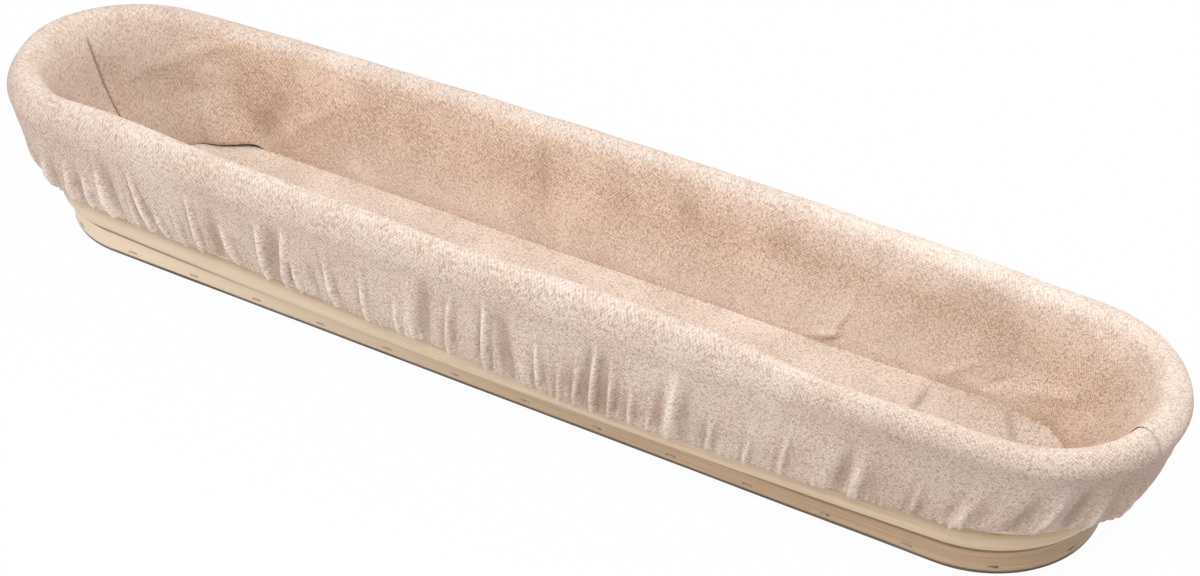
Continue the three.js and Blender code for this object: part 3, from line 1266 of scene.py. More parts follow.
@dataclass(frozen=True)
class Gather:
    """A ridge, or a hollow where its lift is below 0, that runs up the skirt from the hem.

    It starts at this way along the rim from the panel's first end of the basket, in millimetres, leans
    by so much to its top, and reaches so high over the lowest turn's middle. It fades out at fade times
    that height, and is felt to both sides as far as its span, in widths.
    """

    at: float
    lean: float
    reach: float
    lift: float = 1.7
    width: float = 1.25
    fade: float = 1.15
    span: float = 5.0

    def out(self, along: float, height: float, hem: float) -> float:
        """Give how far it stands out at a place, all in millimetres.

        Args:
            along: Way along the rim.
            height: Height over the lowest turn's middle.
            hem: Height of the hem there.

        Returns:
            How far it stands out.
        """
        climb = (height - hem) / (self.fade * self.reach - hem)
        aside = (along - self.at - self.lean * climb) / self.width
        if abs(aside) > self.span or climb > 1:
            return 0.0
        return self.lift * (1 - smooth(climb)) * (1 - aside * aside) * math.exp(-aside * aside / 2)


FRONT_GATHERS = (
    Gather(14, 5, 24, 1.6),
    Gather(24, 6, 26, 1.8),
    Gather(34, 6, 29, 2.2),
    Gather(45, 7, 27, 1.8),
    Gather(50, 7, 30, -1.4, 2.4),
    Gather(57, 8, 32, 2.2),
    Gather(62, 7, 30, -1.5, 2.2),
    Gather(67, 5, 28, 1.9),
    Gather(77, 3, 37, 2.4),
    Gather(82, 3, 36, -1.6, 2.6),
    Gather(90, 2, 26, 1.7),
    Gather(97, -2, 42, 2.2),
    Gather(104, -2, 24),
    Gather(113, 0, 28, 1.6),
    Gather(122, 1, 36, 2.4),
    Gather(131, 1, 32, -1.6, 3.2),
    Gather(139, -4, 31, 2.1),
    Gather(153, 1, 38, 2.2),
    Gather(157, 5, 40, -1.9, 3.2),
    Gather(162, 6, 42, 2.6),
    Gather(168, -2, 25),
    Gather(176, -2, 28, -1.2, 3.0),
    Gather(184, -3, 35, 2.2),
    Gather(198, -1, 32, 1.9),
    Gather(211, 1, 26, 1.5),
    Gather(222, 3, 40, -1.7, 3.5),
    Gather(233, 2, 42, 2.1),
    Gather(249, -2, 44, 2.8),
    Gather(259, -8, 38, -1.8, 3.6),
    Gather(271, -4, 31, 2.1),
    Gather(279, -2, 22),
    Gather(285, -1, 27, 2.0),
    Gather(292, -3, 44, 2.8, 1.4),
    Gather(299, -3, 36, 2.0),
    Gather(307, -2, 24, 2.1),
    Gather(314, -1, 20),
    Gather(322, -5, 42, 2.1, 2.6),
    Gather(337, -2, 22, 1.7),
    Gather(351, -2, 24, 1.5),
    Gather(364, -4, 30, 1.6),
    Gather(384, -3, 29, -1.4, 3.0),
    Gather(390, -5, 32, 1.6, 2.4),
    Gather(410, -3, 26, 1.4),
    Gather(424, 0, 30, 1.7, 2.2),
    Gather(437, 3, 38, -1.2, 2.4),
    Gather(443, 3, 38, 1.2, 1.6),
    Gather(450, 1, 40, -1.3, 2.4),
    Gather(457, 1, 36, 1.3, 1.6),
    Gather(464, -2, 28, -1.2, 2.2),
    Gather(471, -3, 30, 1.3, 1.6),
)


@dataclass(frozen=True)
class StrewnGathers:
    """Ridges and hollows strewn along a skirt as thickly as on the front, in millimetres."""

    seed: int
    step: tuple[float, float] = (6, 14)
    reaches: tuple[float, ...] = (24, 27, 31, 36, 42)
    lean: tuple[float, float] = (-5, 5)
    hollow_share: float = 0.2
    hollow_depth: tuple[float, float] = (1.2, 1.9)
    hollow_width: tuple[float, float] = (2.6, 3.6)
    ridge_lift: tuple[float, float] = (1.5, 2.7)
    ridge_width: tuple[float, float] = (1.4, 2.3)

    def along(self, length: float) -> tuple[Gather, ...]:
        """Strew them along a skirt.

        Args:
            length: Length of the skirt's rim.

        Returns:
            The gathers.
        """
        draw = random.Random(self.seed)
        made: list[Gather] = []
        at = draw.uniform(*self.step)
        while at < length:
            reach = draw.choice(self.reaches)
            hollow = draw.random() < self.hollow_share
            lift = -draw.uniform(*self.hollow_depth) if hollow else draw.uniform(*self.ridge_lift)
            width = draw.uniform(*(self.hollow_width if hollow else self.ridge_width))
            made.append(Gather(at, draw.uniform(*self.lean), reach, lift, width))
            at += draw.uniform(*self.step)
        return tuple(made)


@dataclass(frozen=True)
class Crease:
    """A soft ridge in the cloth, or a hollow where its lift is below 0, from one place to another.

    On a side panel a place is the way along the rim and the way up from the floor, on the floor it is x
    and y, in millimetres. It is felt as far along as its span, in widths. From one end to the other its
    lift follows half a wave, less its taper, a share of that, at either end.
    """

    start: tuple[float, float]
    end: tuple[float, float]
    lift: float
    width: float
    span: float = 5.0
    taper: float = 0.15

    def out(self, along: float, up: float) -> float:
        """Give how far it stands out at a place, all in millimetres.

        Args:
            along: Way along the rim, or x on the floor.
            up: Way up from the floor, or y on the floor.

        Returns:
            How far it stands out.
        """
        reach = self.span * self.width
        if not min(self.start[0], self.end[0]) - reach < along < max(self.start[0], self.end[0]) + reach:
            return 0.0
        first, spot = Vector(self.start), Vector((along, up))
        way = Vector(self.end) - first
        share = min(1.0, max(0.0, (spot - first).dot(way) / way.length_squared))
        away = (spot - first - way * share).length / self.width
        wave = math.sin(math.pi * (self.taper + (1 - 2 * self.taper) * share))
        return self.lift * wave / (1 + away * away) ** 2


BACK_CREASES = (
    Crease((153, 0), (144, 2), 1.3, 1.2),
    Crease((145, 2), (137, 6), 1.6, 1.2),
    Crease((138, 5), (136, 16), 1.4, 1.3),
    Crease((155, -1), (143, 0), -1.3, 0.9),
    Crease((144, 0), (134, 5), -1.6, 0.9),
    Crease((136, 14), (137, 34), 0.7, 1.5),
    Crease((392, 5), (372, 18), 1.2, 3.0),
    Crease((375, 17), (349, 31), 1.3, 3.4),
    Crease((405, 4), (391, 16), -1.6, 6.0),
    Crease((391, 16), (380, 26), -1.1, 6.0),
    Crease((452, 24), (429, 28), 1.3, 3.6),
    Crease((432, 28), (392, 43), 1.4, 3.6),
    Crease((440, 16), (410, 22), -1.0, 5.0),
    Crease((318, 6), (308, 24), 0.9, 2.0),
    Crease((285, 2), (285, 12), 0.9, 1.6),
    Crease((266, 44), (266, 10), -1.3, 5.0),
    Crease((251, 5), (245, 30), 0.8, 2.4),
    Crease((212, 38), (200, 22), -1.2, 8.0),
    Crease((160, 36), (176, 24), -1.0, 9.0),
    Crease((96, 2), (84, 14), 0.8, 2.4),
    Crease((78, 5), (70, 12), -0.9, 2.6),
    Crease((64, 8), (40, 16), 0.9, 3.0),
    Crease((62, 40), (48, 34), 0.8, 3.0),
)
FLOOR_CREASES = (
    Crease((132, 29), (132, 13), -1.3, 1.5),
    Crease((135, 28), (135, 12), 0.9, 1.6),
    Crease((150, 30), (146, 18), 0.9, 2.2),
    Crease((172, 29), (172, 18), 1.2, 1.3),
    Crease((172, 28), (179, 20), 1.1, 1.2),
    Crease((160, 27), (168, 14), -0.8, 2.4),
    Crease((-120, 24), (-96, 2), 0.8, 5.0),
)


# How each side panel hangs, where shade and light are painted on it and where it is darker at the floor's
# seam, along the rim
BACK_CUT: dict[str, Profile] = {
    "puff": Profile(
        ((40, 0.6), (110, 1.6), (190, 1.6), (260, 1.2), (420, 1), (450, 3), (483, 4.5)),
    ),
    "puff_at": Profile(((420, 125), (450, 160))),
    "tuck": Profile(((0, 5), (50, 5), (85, 0), (402, 0), (424, 8), (447, 14), (483, 13))),
    "rise": Profile(
        ((20, 2.5), (60, 2.5), (85, 0), (400, 0), (407, 2), (416, 1.5), (432, 0.6), (448, 0)),
    ),
    # Darker along the floor's seam, and painted shade in the tuck's crease
    "floor_edge_dark": Profile(
        (
            (60, 0),
            (100, 0.25),
            (200, 0.32),
            (330, 0.25),
            (380, 0),
            (403, 0),
            (410, 0.65),
            (436, 0.6),
            (456, 0.3),
        )
    ),
    # Share of the inside colour, painted bounce light
    "warm": Profile(((40, 0.8), (120, 0.85), (200, 1), (380, 1), (440, 0.2))),
    # Painted light on the rim and high on the inner wall
    "painted_light": Profile(
        ((30, 0.55), (70, 0.7), (130, 0.85), (180, 0.5), (240, 0.4), (345, 0.38), (385, 0.2)),
    ),
    # Painted light at the foot of the inner wall
    "wall_foot_light": Profile(
        (
            (40, 0),
            (80, 1.2),
            (130, 1.8),
            (190, 1.1),
            (260, 0.85),
            (345, 1.1),
            (385, 0.6),
            (410, 0.2),
            (440, 0),
        )
    ),
}
FRONT_CUT: dict[str, Profile] = {
    "puff": Profile(
        (
            (0, 4.5),
            (60, 3.8),
            (90, 5),
            (125, 4.2),
            (200, 4.2),
            (240, 3.4),
            (290, 4.6),
            (318, 4.4),
            (372, 0.2),
        )
    ),
    "puff_at": Profile(((10, 160), (60, 125))),
    "tuck": Profile(((0, 13), (40, 9), (100, 0), (400, 0), (440, 5), (483, 5))),
    "rise": Profile(((400, 0), (440, 2.5))),
    # Share of the inside colour, painted bounce light
    "warm": Profile(((40, 0.2), (110, 1))),
    # Painted light on the rim and high on the inner wall
    "painted_light": Profile(((20, 0.4), (110, 0.6), (400, 0.6), (450, 0.5))),
}


class Zone(Enum):
    """Stretches of a side panel from the floor to the hem, with their shares of its rows."""

    INNER = 0.35
    RIM = 0.16
    SKIRT = 0.37
    HEM = 0.12


@dataclass(frozen=True)
class Cloth:
    """Sizes that the liner's pieces share."""

    wall: Wall
    thickness: float = 1 * MM
    gap: float = 0.45 * MM
    hem_height: float = 4.8 * MM
    hem_rise: float = 8 * MM
    hem_depth: float = 6 * MM
    hem_stand: float = 2.4 * MM
    flare: float = 0.42
    front_hem: Profile = Profile(
        (
            (0, 0),
            (70, -1.7),
            (100, -0.5),
            (140, 2.6),
            (220, 2.8),
            (300, -1.2),
            (410, -2),
            (450, 3.5),
            (480, 0),
        )
    )
    swell: float = 0.8 * MM
    seam_shift: float = 13 * MM
    seam_sink: float = 0.45 * MM
    seam_width: float = 0.8 * MM
    seam_lap: float = 0.3 * MM
    seam_lean: float = 5 * MM
    lean_reach: float = 0.06
    floor_z: float = 11.9 * MM
    floor_lap: float = 0.4 * MM
    floor_inset: float = 7.4 * MM
    leave: float = math.radians(168)

    @cached_property
    def cover(self) -> float:
        """How far the cloth's middle lies from the cane's middle."""
        return self.wall.radius + self.gap + self.thickness / 2

    @cached_property
    def floor_oval(self) -> Oval:
        """Oval of the floor's seam."""
        return self.wall.foot.oval.inset(self.floor_inset)

    @cached_property
    def perimeter(self) -> float:
        """Way round the rim."""
        return self.wall.rim_middle.perimeter

    @cached_property
    def lengths(self) -> dict[Zone, float]:
        """Length of cloth in each stretch of a side panel, in the middle of the basket's side."""
        station = self.wall.at(BACK)
        return {
            Zone.INNER: self.wall.rim_z - self.floor_z,
            Zone.RIM: self.leave * self.cover,
            Zone.SKIRT: station.slope - self.hem_height - self.hem_stand / 2,
            Zone.HEM: math.pi * self.hem_stand / 2 + self.hem_depth,
        }

    def stand(self, share: float) -> float:
        """Give how far the hem stands off the wall, which is more at the +X end."""
        return self.hem_stand * (1 + self.flare * math.cos(2 * math.pi * share))

    def hem(self, share: float) -> float:
        """Give the hem's height over the lowest turn's middle, which rises at the basket's ends.

        Args:
            share: Share of the way round.

        Returns:
            The height.
        """
        stray = self.front_hem.at((share % 1 - 1 / 2) * self.perimeter / MM) * MM
        return self.hem_height + self.hem_rise * math.cos(2 * math.pi * share) ** 2 + stray


@dataclass(frozen=True)
class Strip:
    """What one column of a side panel follows: the wall, and the line from the floor to the rim."""

    station: Station
    along: float
    bottom: Vector
    top: Vector
    inward: Vector
    hem: float
    stand: float
    puff: float
    tuck: float
    sunk: float


@dataclass(frozen=True)
class Pleats:
    """Fine pleats over the hem, in millimetres, which lean towards the panel's middle as they rise."""

    pitch: float = 2.9
    slant: float = 0.25
    stray: Ripple = Ripple(0.8, 7, 1, 31.0)
    strength: float = 0.6
    strength_stray: Ripple = Ripple(1.2, 13, 1, 33.0)
    least: float = 0.1
    reach: float = 10.0
    reach_stray: Ripple = Ripple(7, 5, 1, 35.0)

    def out(self, along: float, above: float, length: float) -> float:
        """Give how far they stand out at a place.

        Args:
            along: Way along the rim.
            above: Height over the hem.
            length: Length of the panel.

        Returns:
            How far they stand out.
        """
        lean = self.slant * above * math.cos(math.pi * along / length)
        phase = (along - lean) / self.pitch + self.stray.out(along)
        crest = ((1 + math.cos(2 * math.pi * phase)) / 2) ** 2
        strength = max(self.least, self.strength + self.strength_stray.out(along))
        return strength * crest * (1 - smooth(above / (self.reach + self.reach_stray.out(along))))


@dataclass(frozen=True)
class Drape:
    """How a side panel's cloth hangs.

    Ripples, the slack, the height of the hem's hold and the gathers' reach are in millimetres, and the
    rim's ripple is measured across by shares of the way over the rim. Each other place or run is a share of
    the inner wall's height, of the way over the rim or of the way down the skirt.
    """

    slack: float = 0.6
    inner: tuple[Ripple, ...] = (
        Ripple(0.7, 50, 34, 5.0),
        Ripple(0.45, 17, 30, 6.0),
        Ripple(0.14, 4.5, 24, 8.0),
    )
    rim: Ripple = Ripple(0.4, 22, 1 / 2, 3.0)
    outer: tuple[Ripple, ...] = (Ripple(0.5, 20, 26, 37.0), Ripple(0.16, 6, 14, 39.0))
    edge: tuple[Ripple, ...] = (Ripple(0.5, 12, 1, 21.0), Ripple(0.3, 3.2, 1, 22.0))
    foot_run: float = 1 / 9
    lip: float = 0.16
    lip_height: float = 0.4
    puff_low: float = 1 / 2
    inner_sink: float = 3.0
    parted_to: float = 0.85
    parted_run: float = 0.1
    rim_sink_from: float = 0.4
    rim_sink_run: float = 1 / 4
    rim_inner_run: float = 1 / 2
    rim_loose_run: float = 1 / 3
    skirt_loose_run: float = 1 / 2
    skirt_run: float = 1 / 3
    stand_from: float = 0.1
    stand_rate: float = 1.15
    edge_from: float = 1 / 2
    edge_inside: float = 0.4
    crest_drop: float = 0.2
    hem_hold: float = 0.38
    hem_squash: float = 0.3
    hold_height: float = 9.0
    gather_reach: float = 25.0


@dataclass(frozen=True)
class Marks:
    """Where shade and light are painted on a side panel, and where it is darker at the floor's seam, and
    how much, as shares.

    A place or run in metres is along the basket. Others are shares of the inner wall's height, of the way
    over the rim or of the way down the skirt. Painted shade fills creases from a depth and hollows below a
    height, and painted highlights pale the crests above one, in millimetres.
    """

    # Darker along the floor's seam, this far up the inner wall
    floor_edge_dark_run: float = 1 / 24
    # Painted shade on the inner walls towards the -X end
    far_end_shade: float = 0.24
    far_end_shade_from: float = 150 * MM
    far_end_shade_run: float = 40 * MM
    far_end_shade_top: float = 2 / 3
    # Painted shade in the creases' hollows
    crease_shade: float = 0.25
    crease_depth: float = 0.3
    # Painted light high on the inner wall and at its foot
    painted_light_low: float = 0.55
    painted_light_run: float = 0.4
    wall_foot_light_power: float = 1.5
    # The inside colour, painted bounce light, fades out this far over the rim
    warm_run: float = 1 / 4
    # Painted shade in the seams over the rim
    seam_dark: float = 0.5
    seam_from: float = 0.45
    seam_run: float = 1 / 8
    # Painted shade in the skirt's hollows
    hollow_dark: float = 0.45
    hollow_below: float = 0.1
    # Painted highlights on the skirt's crests
    crest_pale: float = 0.8
    crest_above: float = 0.3
    # Painted shade at the +X end, most under the rim
    near_end_shade: float = 0.3
    near_end_shade_from: float = 95 * MM
    near_end_shade_run: float = 60 * MM
    near_end_shade_top: float = 1 / 2
    near_end_shade_loss: float = 0.7


@dataclass
class SidePanel:
    """One side of the liner, from the floor up the inside, over the rim and down to the hem."""

    name: str
    node: str
    cloth: Cloth
    start: float
    gathers: tuple[Gather, ...]
    creases: tuple[Crease, ...] = ()
    puff: Profile = Profile()
    tuck: Profile = Profile()
    rise: Profile = Profile()
    # Darker along the floor's seam, and painted shade in the tuck's crease
    floor_edge_dark: Profile = Profile(((0, 0.15),))
    # Share of the inside colour, painted bounce light
    warm: Profile = Profile(((0, 1),))
    # Painted light on the rim and high on the inner wall, and at the wall's foot
    painted_light: Profile = Profile(((0, 0.5),))
    painted_light_from: float = 0.55
    wall_foot_light: Profile = Profile()
    puff_at: Profile = Profile(((0, 125),))
    puff_reach: float = math.radians(105)
    pleats: Pleats = Pleats()
    drape: Drape = Drape()
    marks: Marks = Marks()
    columns: int = 800
    rows: int = 112

    def strip(self, column: float) -> Strip:
        """Work out what a column follows, from its share of the panel.

        Args:
            column: Share of the panel's columns.

        Returns:
            What it follows.
        """
        cloth = self.cloth
        wall = cloth.wall
        lap = cloth.seam_lap / cloth.perimeter
        share = self.start - lap + column * (1 / 2 + 2 * lap)
        station = wall.at(share)
        along = (share - round(self.start * 2) / 2) * cloth.perimeter / MM
        tuck = self.tuck.at(along) * MM
        flat = Vector((station.out.x, station.out.y, 0)).normalized()
        away = (share % 1 - 1 / 2) / cloth.lean_reach
        lean = cloth.seam_lean / cloth.perimeter * math.exp(-(away**2))
        edge, _ = cloth.floor_oval.at(share + lean, wall.rim_middle.end_share)
        low = cloth.floor_z - cloth.floor_lap + self.rise.at(along) * MM
        bottom = edge - flat * tuck + UP * low
        reach = Vector((math.cos(cloth.leave), math.sin(cloth.leave))) * cloth.cover
        top = station.point(reach.x, station.slope + reach.y)
        way = (top - bottom).normalized()
        inward = (way * station.out.dot(way) - station.out).normalized()
        seam = min(column, 1 - column) / 2 * cloth.perimeter
        sunk = cloth.seam_sink * math.exp(-((seam / cloth.seam_width) ** 2))
        puff = self.puff.at(along) * MM
        hem, stand = cloth.hem(share), cloth.stand(share)
        return Strip(station, along, bottom, top, inward, hem, stand, puff, tuck, sunk)

    def build(self, look: bpy.types.Material) -> None:
        """Make the panel and dress it.

        Args:
            look: Its finish.
        """
        strips = [self.strip(column / self.columns) for column in range(self.columns + 1)]

        def place(along: float, across: float) -> Point:
            """Place a point of the panel.

            Args:
                along: Share of its columns.
                across: Share of its rows, from the floor to the hem.

            Returns:
                The point.
            """
            strip = strips[round(along * self.columns)]
            zone, part, laid = self.zone(across)
            along_rim = strip.along * MM
            if zone is Zone.INNER:
                marks = self.inner_marks(strip, part, laid / MM)
                return Point(self.inner_spot(strip, part), along_rim, laid, *marks)
            if zone is Zone.RIM:
                return Point(self.rim_spot(strip, part), along_rim, laid, *self.rim_marks(strip, part))
            if zone is Zone.SKIRT:
                marks = self.skirt_marks(strip, part)
                return Point(self.skirt_spot(strip, part), along_rim, laid, *marks)
            return Point(self.hem_spot(strip, part), along_rim, laid, *self.skirt_marks(strip, 1))

        panel = surface(self.name, self.columns, self.rows, place)
        settle(panel, Body.LINER, Slot.LINEN, look, self.node)
        cut = (sum(self.cloth.lengths.values()), self.cloth.perimeter / 2)

    def zone(self, across: float) -> tuple[Zone, float, float]:
        """Find a stretch of the panel.

        Args:
            across: Share of the panel's rows, from the floor to the hem.

        Returns:
            The stretch, the share of it that is passed, and the cloth used up to there.
        """
        left, laid = across, 0.0
        for zone in Zone:
            length = self.cloth.lengths[zone]
            if left <= zone.value + ROUNDING or zone is Zone.HEM:
                part = min(1.0, left / zone.value)
                return zone, part, laid + part * length
            left -= zone.value
            laid += length
        raise ValueError(across)

    def inner_marks(self, strip: Strip, part: float, up: float) -> tuple[float, float, float]:
        """Give what marks the inner wall at a place.

        Args:
            strip: The column that it lies on.
            part: Share of the inner wall's height.
            up: Way up from the floor, in millimetres.

        Returns:
            How far it has the inside colour, painted bounce light; how dark it is, from painted shade and
            the dark line at the floor's seam; and how much light is painted on it.
        """
        marks = self.marks
        # Darker along the floor's seam; painted shade towards the -X end, in the open seams and in the
        # creases' hollows
        floor_edge_dark = self.floor_edge_dark.at(strip.along) * (1 - smooth(part / marks.floor_edge_dark_run))
        far = smooth((-strip.station.foot.x - marks.far_end_shade_from) / marks.far_end_shade_run)
        far_end_shade = marks.far_end_shade * far * (1 - smooth((part - marks.far_end_shade_top) / (1 - marks.far_end_shade_top)))
        open_seam = strip.sunk / self.cloth.seam_sink * self.parted(part)
        creased = marks.crease_shade * smooth(-self.folds(strip.along, up) - marks.crease_depth)
        # Painted light high on the wall and at its foot
        high = smooth((part - marks.painted_light_low) / (1 - marks.painted_light_low))
        painted_light = self.painted_light.at(strip.along) * high
        wall_foot_light = self.wall_foot_light.at(strip.along) * (1 - part) ** marks.wall_foot_light_power
        return self.warm.at(strip.along), max(far_end_shade, floor_edge_dark, open_seam, creased), max(painted_light, wall_foot_light)

    def rim_marks(self, strip: Strip, part: float) -> tuple[float, float, float]:
        """Give what marks the cloth over the rim at a share of its way, as for the inner wall.

        Args:
            strip: The column that the point lies on.
            part: Share of the way over the rim.

        Returns:
            How far it has the inside colour, painted bounce light; how much shade and how much light are
            painted on it.
        """
        marks = self.marks
        # The inside colour, painted bounce light, fades out over the rim
        warm = self.warm.at(strip.along) * (1 - smooth(part / marks.warm_run))
        # Painted light on the rim's crest
        past = smooth((part - self.painted_light_from) / marks.painted_light_run)
        painted_light = self.painted_light.at(strip.along) * (1 - past)
        # Painted shade in the seams, and on the outer side at the +X end
        shown = smooth((part - marks.seam_from) / marks.seam_run)
        seam = marks.seam_dark * strip.sunk / self.cloth.seam_sink * shown
        outer = smooth((part - marks.near_end_shade_top) / (1 - marks.near_end_shade_top))
        return warm, max(seam, self.near_end_shade(strip, 0) * outer), painted_light

    def folds(self, along: float, up: float) -> float:
        """Give how far the inner wall's creases stand into the basket, all in millimetres."""
        return sum(crease.out(along, up) for crease in self.creases)

    def inner_relief(self, along: float, up: float) -> float:
        """Give how far the inner wall's cloth stands into the basket, from places in millimetres.

        Args:
            along: Way along the rim.
            up: Way up from the floor.

        Returns:
            How far it stands in, in metres.
        """
        return (self.drape.slack + total(self.drape.inner, along, up) + self.folds(along, up)) * MM

    def puffed(self, strip: Strip, angle: float) -> float:
        """Give how far the cloth stands off the rim at an angle round it.

        Args:
            strip: The column that the point lies on.
            angle: Angle round the top turn, from its outer side up.

        Returns:
            How far it stands off.
        """
        aside = (angle - math.radians(self.puff_at.at(strip.along))) / self.puff_reach * math.pi / 2
        return strip.puff * max(0.0, math.cos(aside)) ** 2

    def loose(self, strip: Strip, turn: float) -> float:
        """Give how loosely the cloth lies round the rim."""
        return self.drape.rim.out(strip.along, turn) * MM

    def inner_spot(self, strip: Strip, part: float) -> Vector:
        """Place a point of the inner wall, which hangs from the rim to the floor.

        Args:
            strip: The column that the point lies on.
            part: Share of the inner wall's height.

        Returns:
            The point.
        """
        drape = self.drape
        up = part * self.cloth.lengths[Zone.INNER] / MM
        lip = drape.lip * strip.tuck * math.sin(math.pi * min(1.0, part / drape.lip_height))
        into = self.inner_relief(strip.along, up) * smooth(part / drape.foot_run) + lip
        high = smooth((part - drape.puff_low) / (1 - drape.puff_low))
        into += self.puffed(strip, self.cloth.leave) * high
        sunk = drape.inner_sink * strip.sunk * self.parted(part)
        return strip.bottom.lerp(strip.top, part) + strip.inward * (into - sunk)

    def parted(self, part: float) -> float:
        """Give how open the seam is at a share of the inner wall's height."""
        return 1 - smooth((part - self.drape.parted_to) / self.drape.parted_run)

    def rim_spot(self, strip: Strip, part: float) -> Vector:
        """Place a point of the cloth over the rim.

        Args:
            strip: The column that the point lies on.
            part: Share of the way over the rim.

        Returns:
            The point.
        """
        cloth, drape = self.cloth, self.drape
        angle = cloth.leave * (1 - part)
        top = self.inner_relief(strip.along, cloth.lengths[Zone.INNER] / MM)
        sunk = strip.sunk * smooth((part - drape.rim_sink_from) / drape.rim_sink_run)
        radius = cloth.cover - sunk + top * (1 - smooth(part / drape.rim_inner_run))
        radius += self.puffed(strip, angle) + self.loose(strip, part) * smooth(part / drape.rim_loose_run)
        height = strip.station.slope + radius * math.sin(angle)
        return strip.station.point(radius * math.cos(angle), height)

    def skirt_spot(self, strip: Strip, part: float) -> Vector:
        """Place a point of the skirt, which stands out more and more towards the hem.

        Args:
            strip: The column that the point lies on.
            part: Share of the way down the skirt.

        Returns:
            The point.
        """
        cloth, drape, slope = self.cloth, self.drape, strip.station.slope
        height = slope + (strip.hem + strip.stand / 2 - slope) * part
        out = cloth.cover - strip.sunk
        out += self.loose(strip, 1) * (1 - smooth(part / drape.skirt_loose_run))
        out += cloth.swell * math.sin(math.pi * part)
        out += strip.stand * smooth(part * drape.stand_rate - drape.stand_from)
        relief = self.outer_relief(strip, height) * smooth(part / drape.skirt_run)
        low = smooth((part - drape.edge_from) / (1 - drape.edge_from))
        return strip.station.point(out + relief, height + self.dip(strip) * low)

    def skirt_marks(self, strip: Strip, part: float) -> tuple[float, float, float]:
        """Give what marks the skirt at a share of its height, as for the inner wall.

        Args:
            strip: The column that the point lies on.
            part: Share of the way down the skirt.

        Returns:
            How far it has the inside's colour, which is not at all, how much shade is painted in its
            hollows and at the +X end, and how much light is painted on its crests.
        """
        marks = self.marks
        slope = strip.station.slope
        height = slope + (strip.hem + strip.stand / 2 - slope) * part
        relief = self.outer_relief(strip, height) / MM
        shown = smooth(part / self.drape.skirt_run)
        # Painted shade in the hollows and at the +X end, and painted highlights on the crests
        dark = marks.hollow_dark * smooth(marks.hollow_below - relief) * shown + self.near_end_shade(strip, part)
        return 0.0, dark, marks.crest_pale * smooth(relief - marks.crest_above) * shown

    def near_end_shade(self, strip: Strip, part: float) -> float:
        """Give the shade painted on the skirt at a share of its height, most under the rim at the +X end.

        Args:
            strip: The column that the point lies on.
            part: Share of the way down the skirt.

        Returns:
            The painted shade, as a share.
        """
        marks = self.marks
        near = smooth((strip.station.foot.x - marks.near_end_shade_from) / marks.near_end_shade_run)
        return marks.near_end_shade * near * (1 - marks.near_end_shade_loss * part)

    def hem_spot(self, strip: Strip, part: float) -> Vector:
        """Place a point of the hem, which turns under and up again round the elastic.

        Args:
            strip: The column that the point lies on.
            part: Share of the way round the hem.

        Returns:
            The point.
        """
        cloth, drape = self.cloth, self.drape
        fold = strip.stand / 2
        cover = cloth.cover - strip.sunk
        low = strip.hem + fold
        turned = part * (math.pi * fold + cloth.hem_depth)
        if turned > math.pi * fold:
            height = low + turned - math.pi * fold + drape.edge_inside * self.dip(strip)
            return strip.station.point(cover, height)
        relief = self.outer_relief(strip, low)
        angle = turned / fold
        fade = (1 + math.cos(angle)) / 2
        out = cover + fold + fold * math.cos(angle) + relief * fade
        drop = (fold + drape.crest_drop * max(0.0, relief)) * math.sin(angle)
        stray = self.dip(strip) * (drape.edge_inside + (1 - drape.edge_inside) * fade)
        return strip.station.point(out, low - drop + stray)

    def dip(self, strip: Strip) -> float:
        """Give how far the hem's edge strays up, or down where it is below 0."""
        return total(self.drape.edge, strip.along) * MM

    def outer_relief(self, strip: Strip, height: float) -> float:
        """Give how far the skirt's gathers and scallops stand out at a height.

        Args:
            strip: The column that the point lies on.
            height: Height over the lowest turn's middle, up the wall's slope.

        Returns:
            How far they stand out.
        """
        drape = self.drape
        along, up, hem = strip.along, height / MM, strip.hem / MM
        near = (gather for gather in self.gathers if abs(along - gather.at) < drape.gather_reach)
        main = sum(gather.out(along, up, hem) for gather in near)
        free = smooth((up - hem) / drape.hold_height)
        pleats = self.pleats.out(along, up - hem, self.cloth.perimeter / 2 / MM)
        held = drape.hem_hold + (1 - drape.hem_hold) * free
        full = held * main + pleats + total(drape.outer, along, up)
        return max(-drape.hem_squash * strip.stand / MM - free, full) * MM


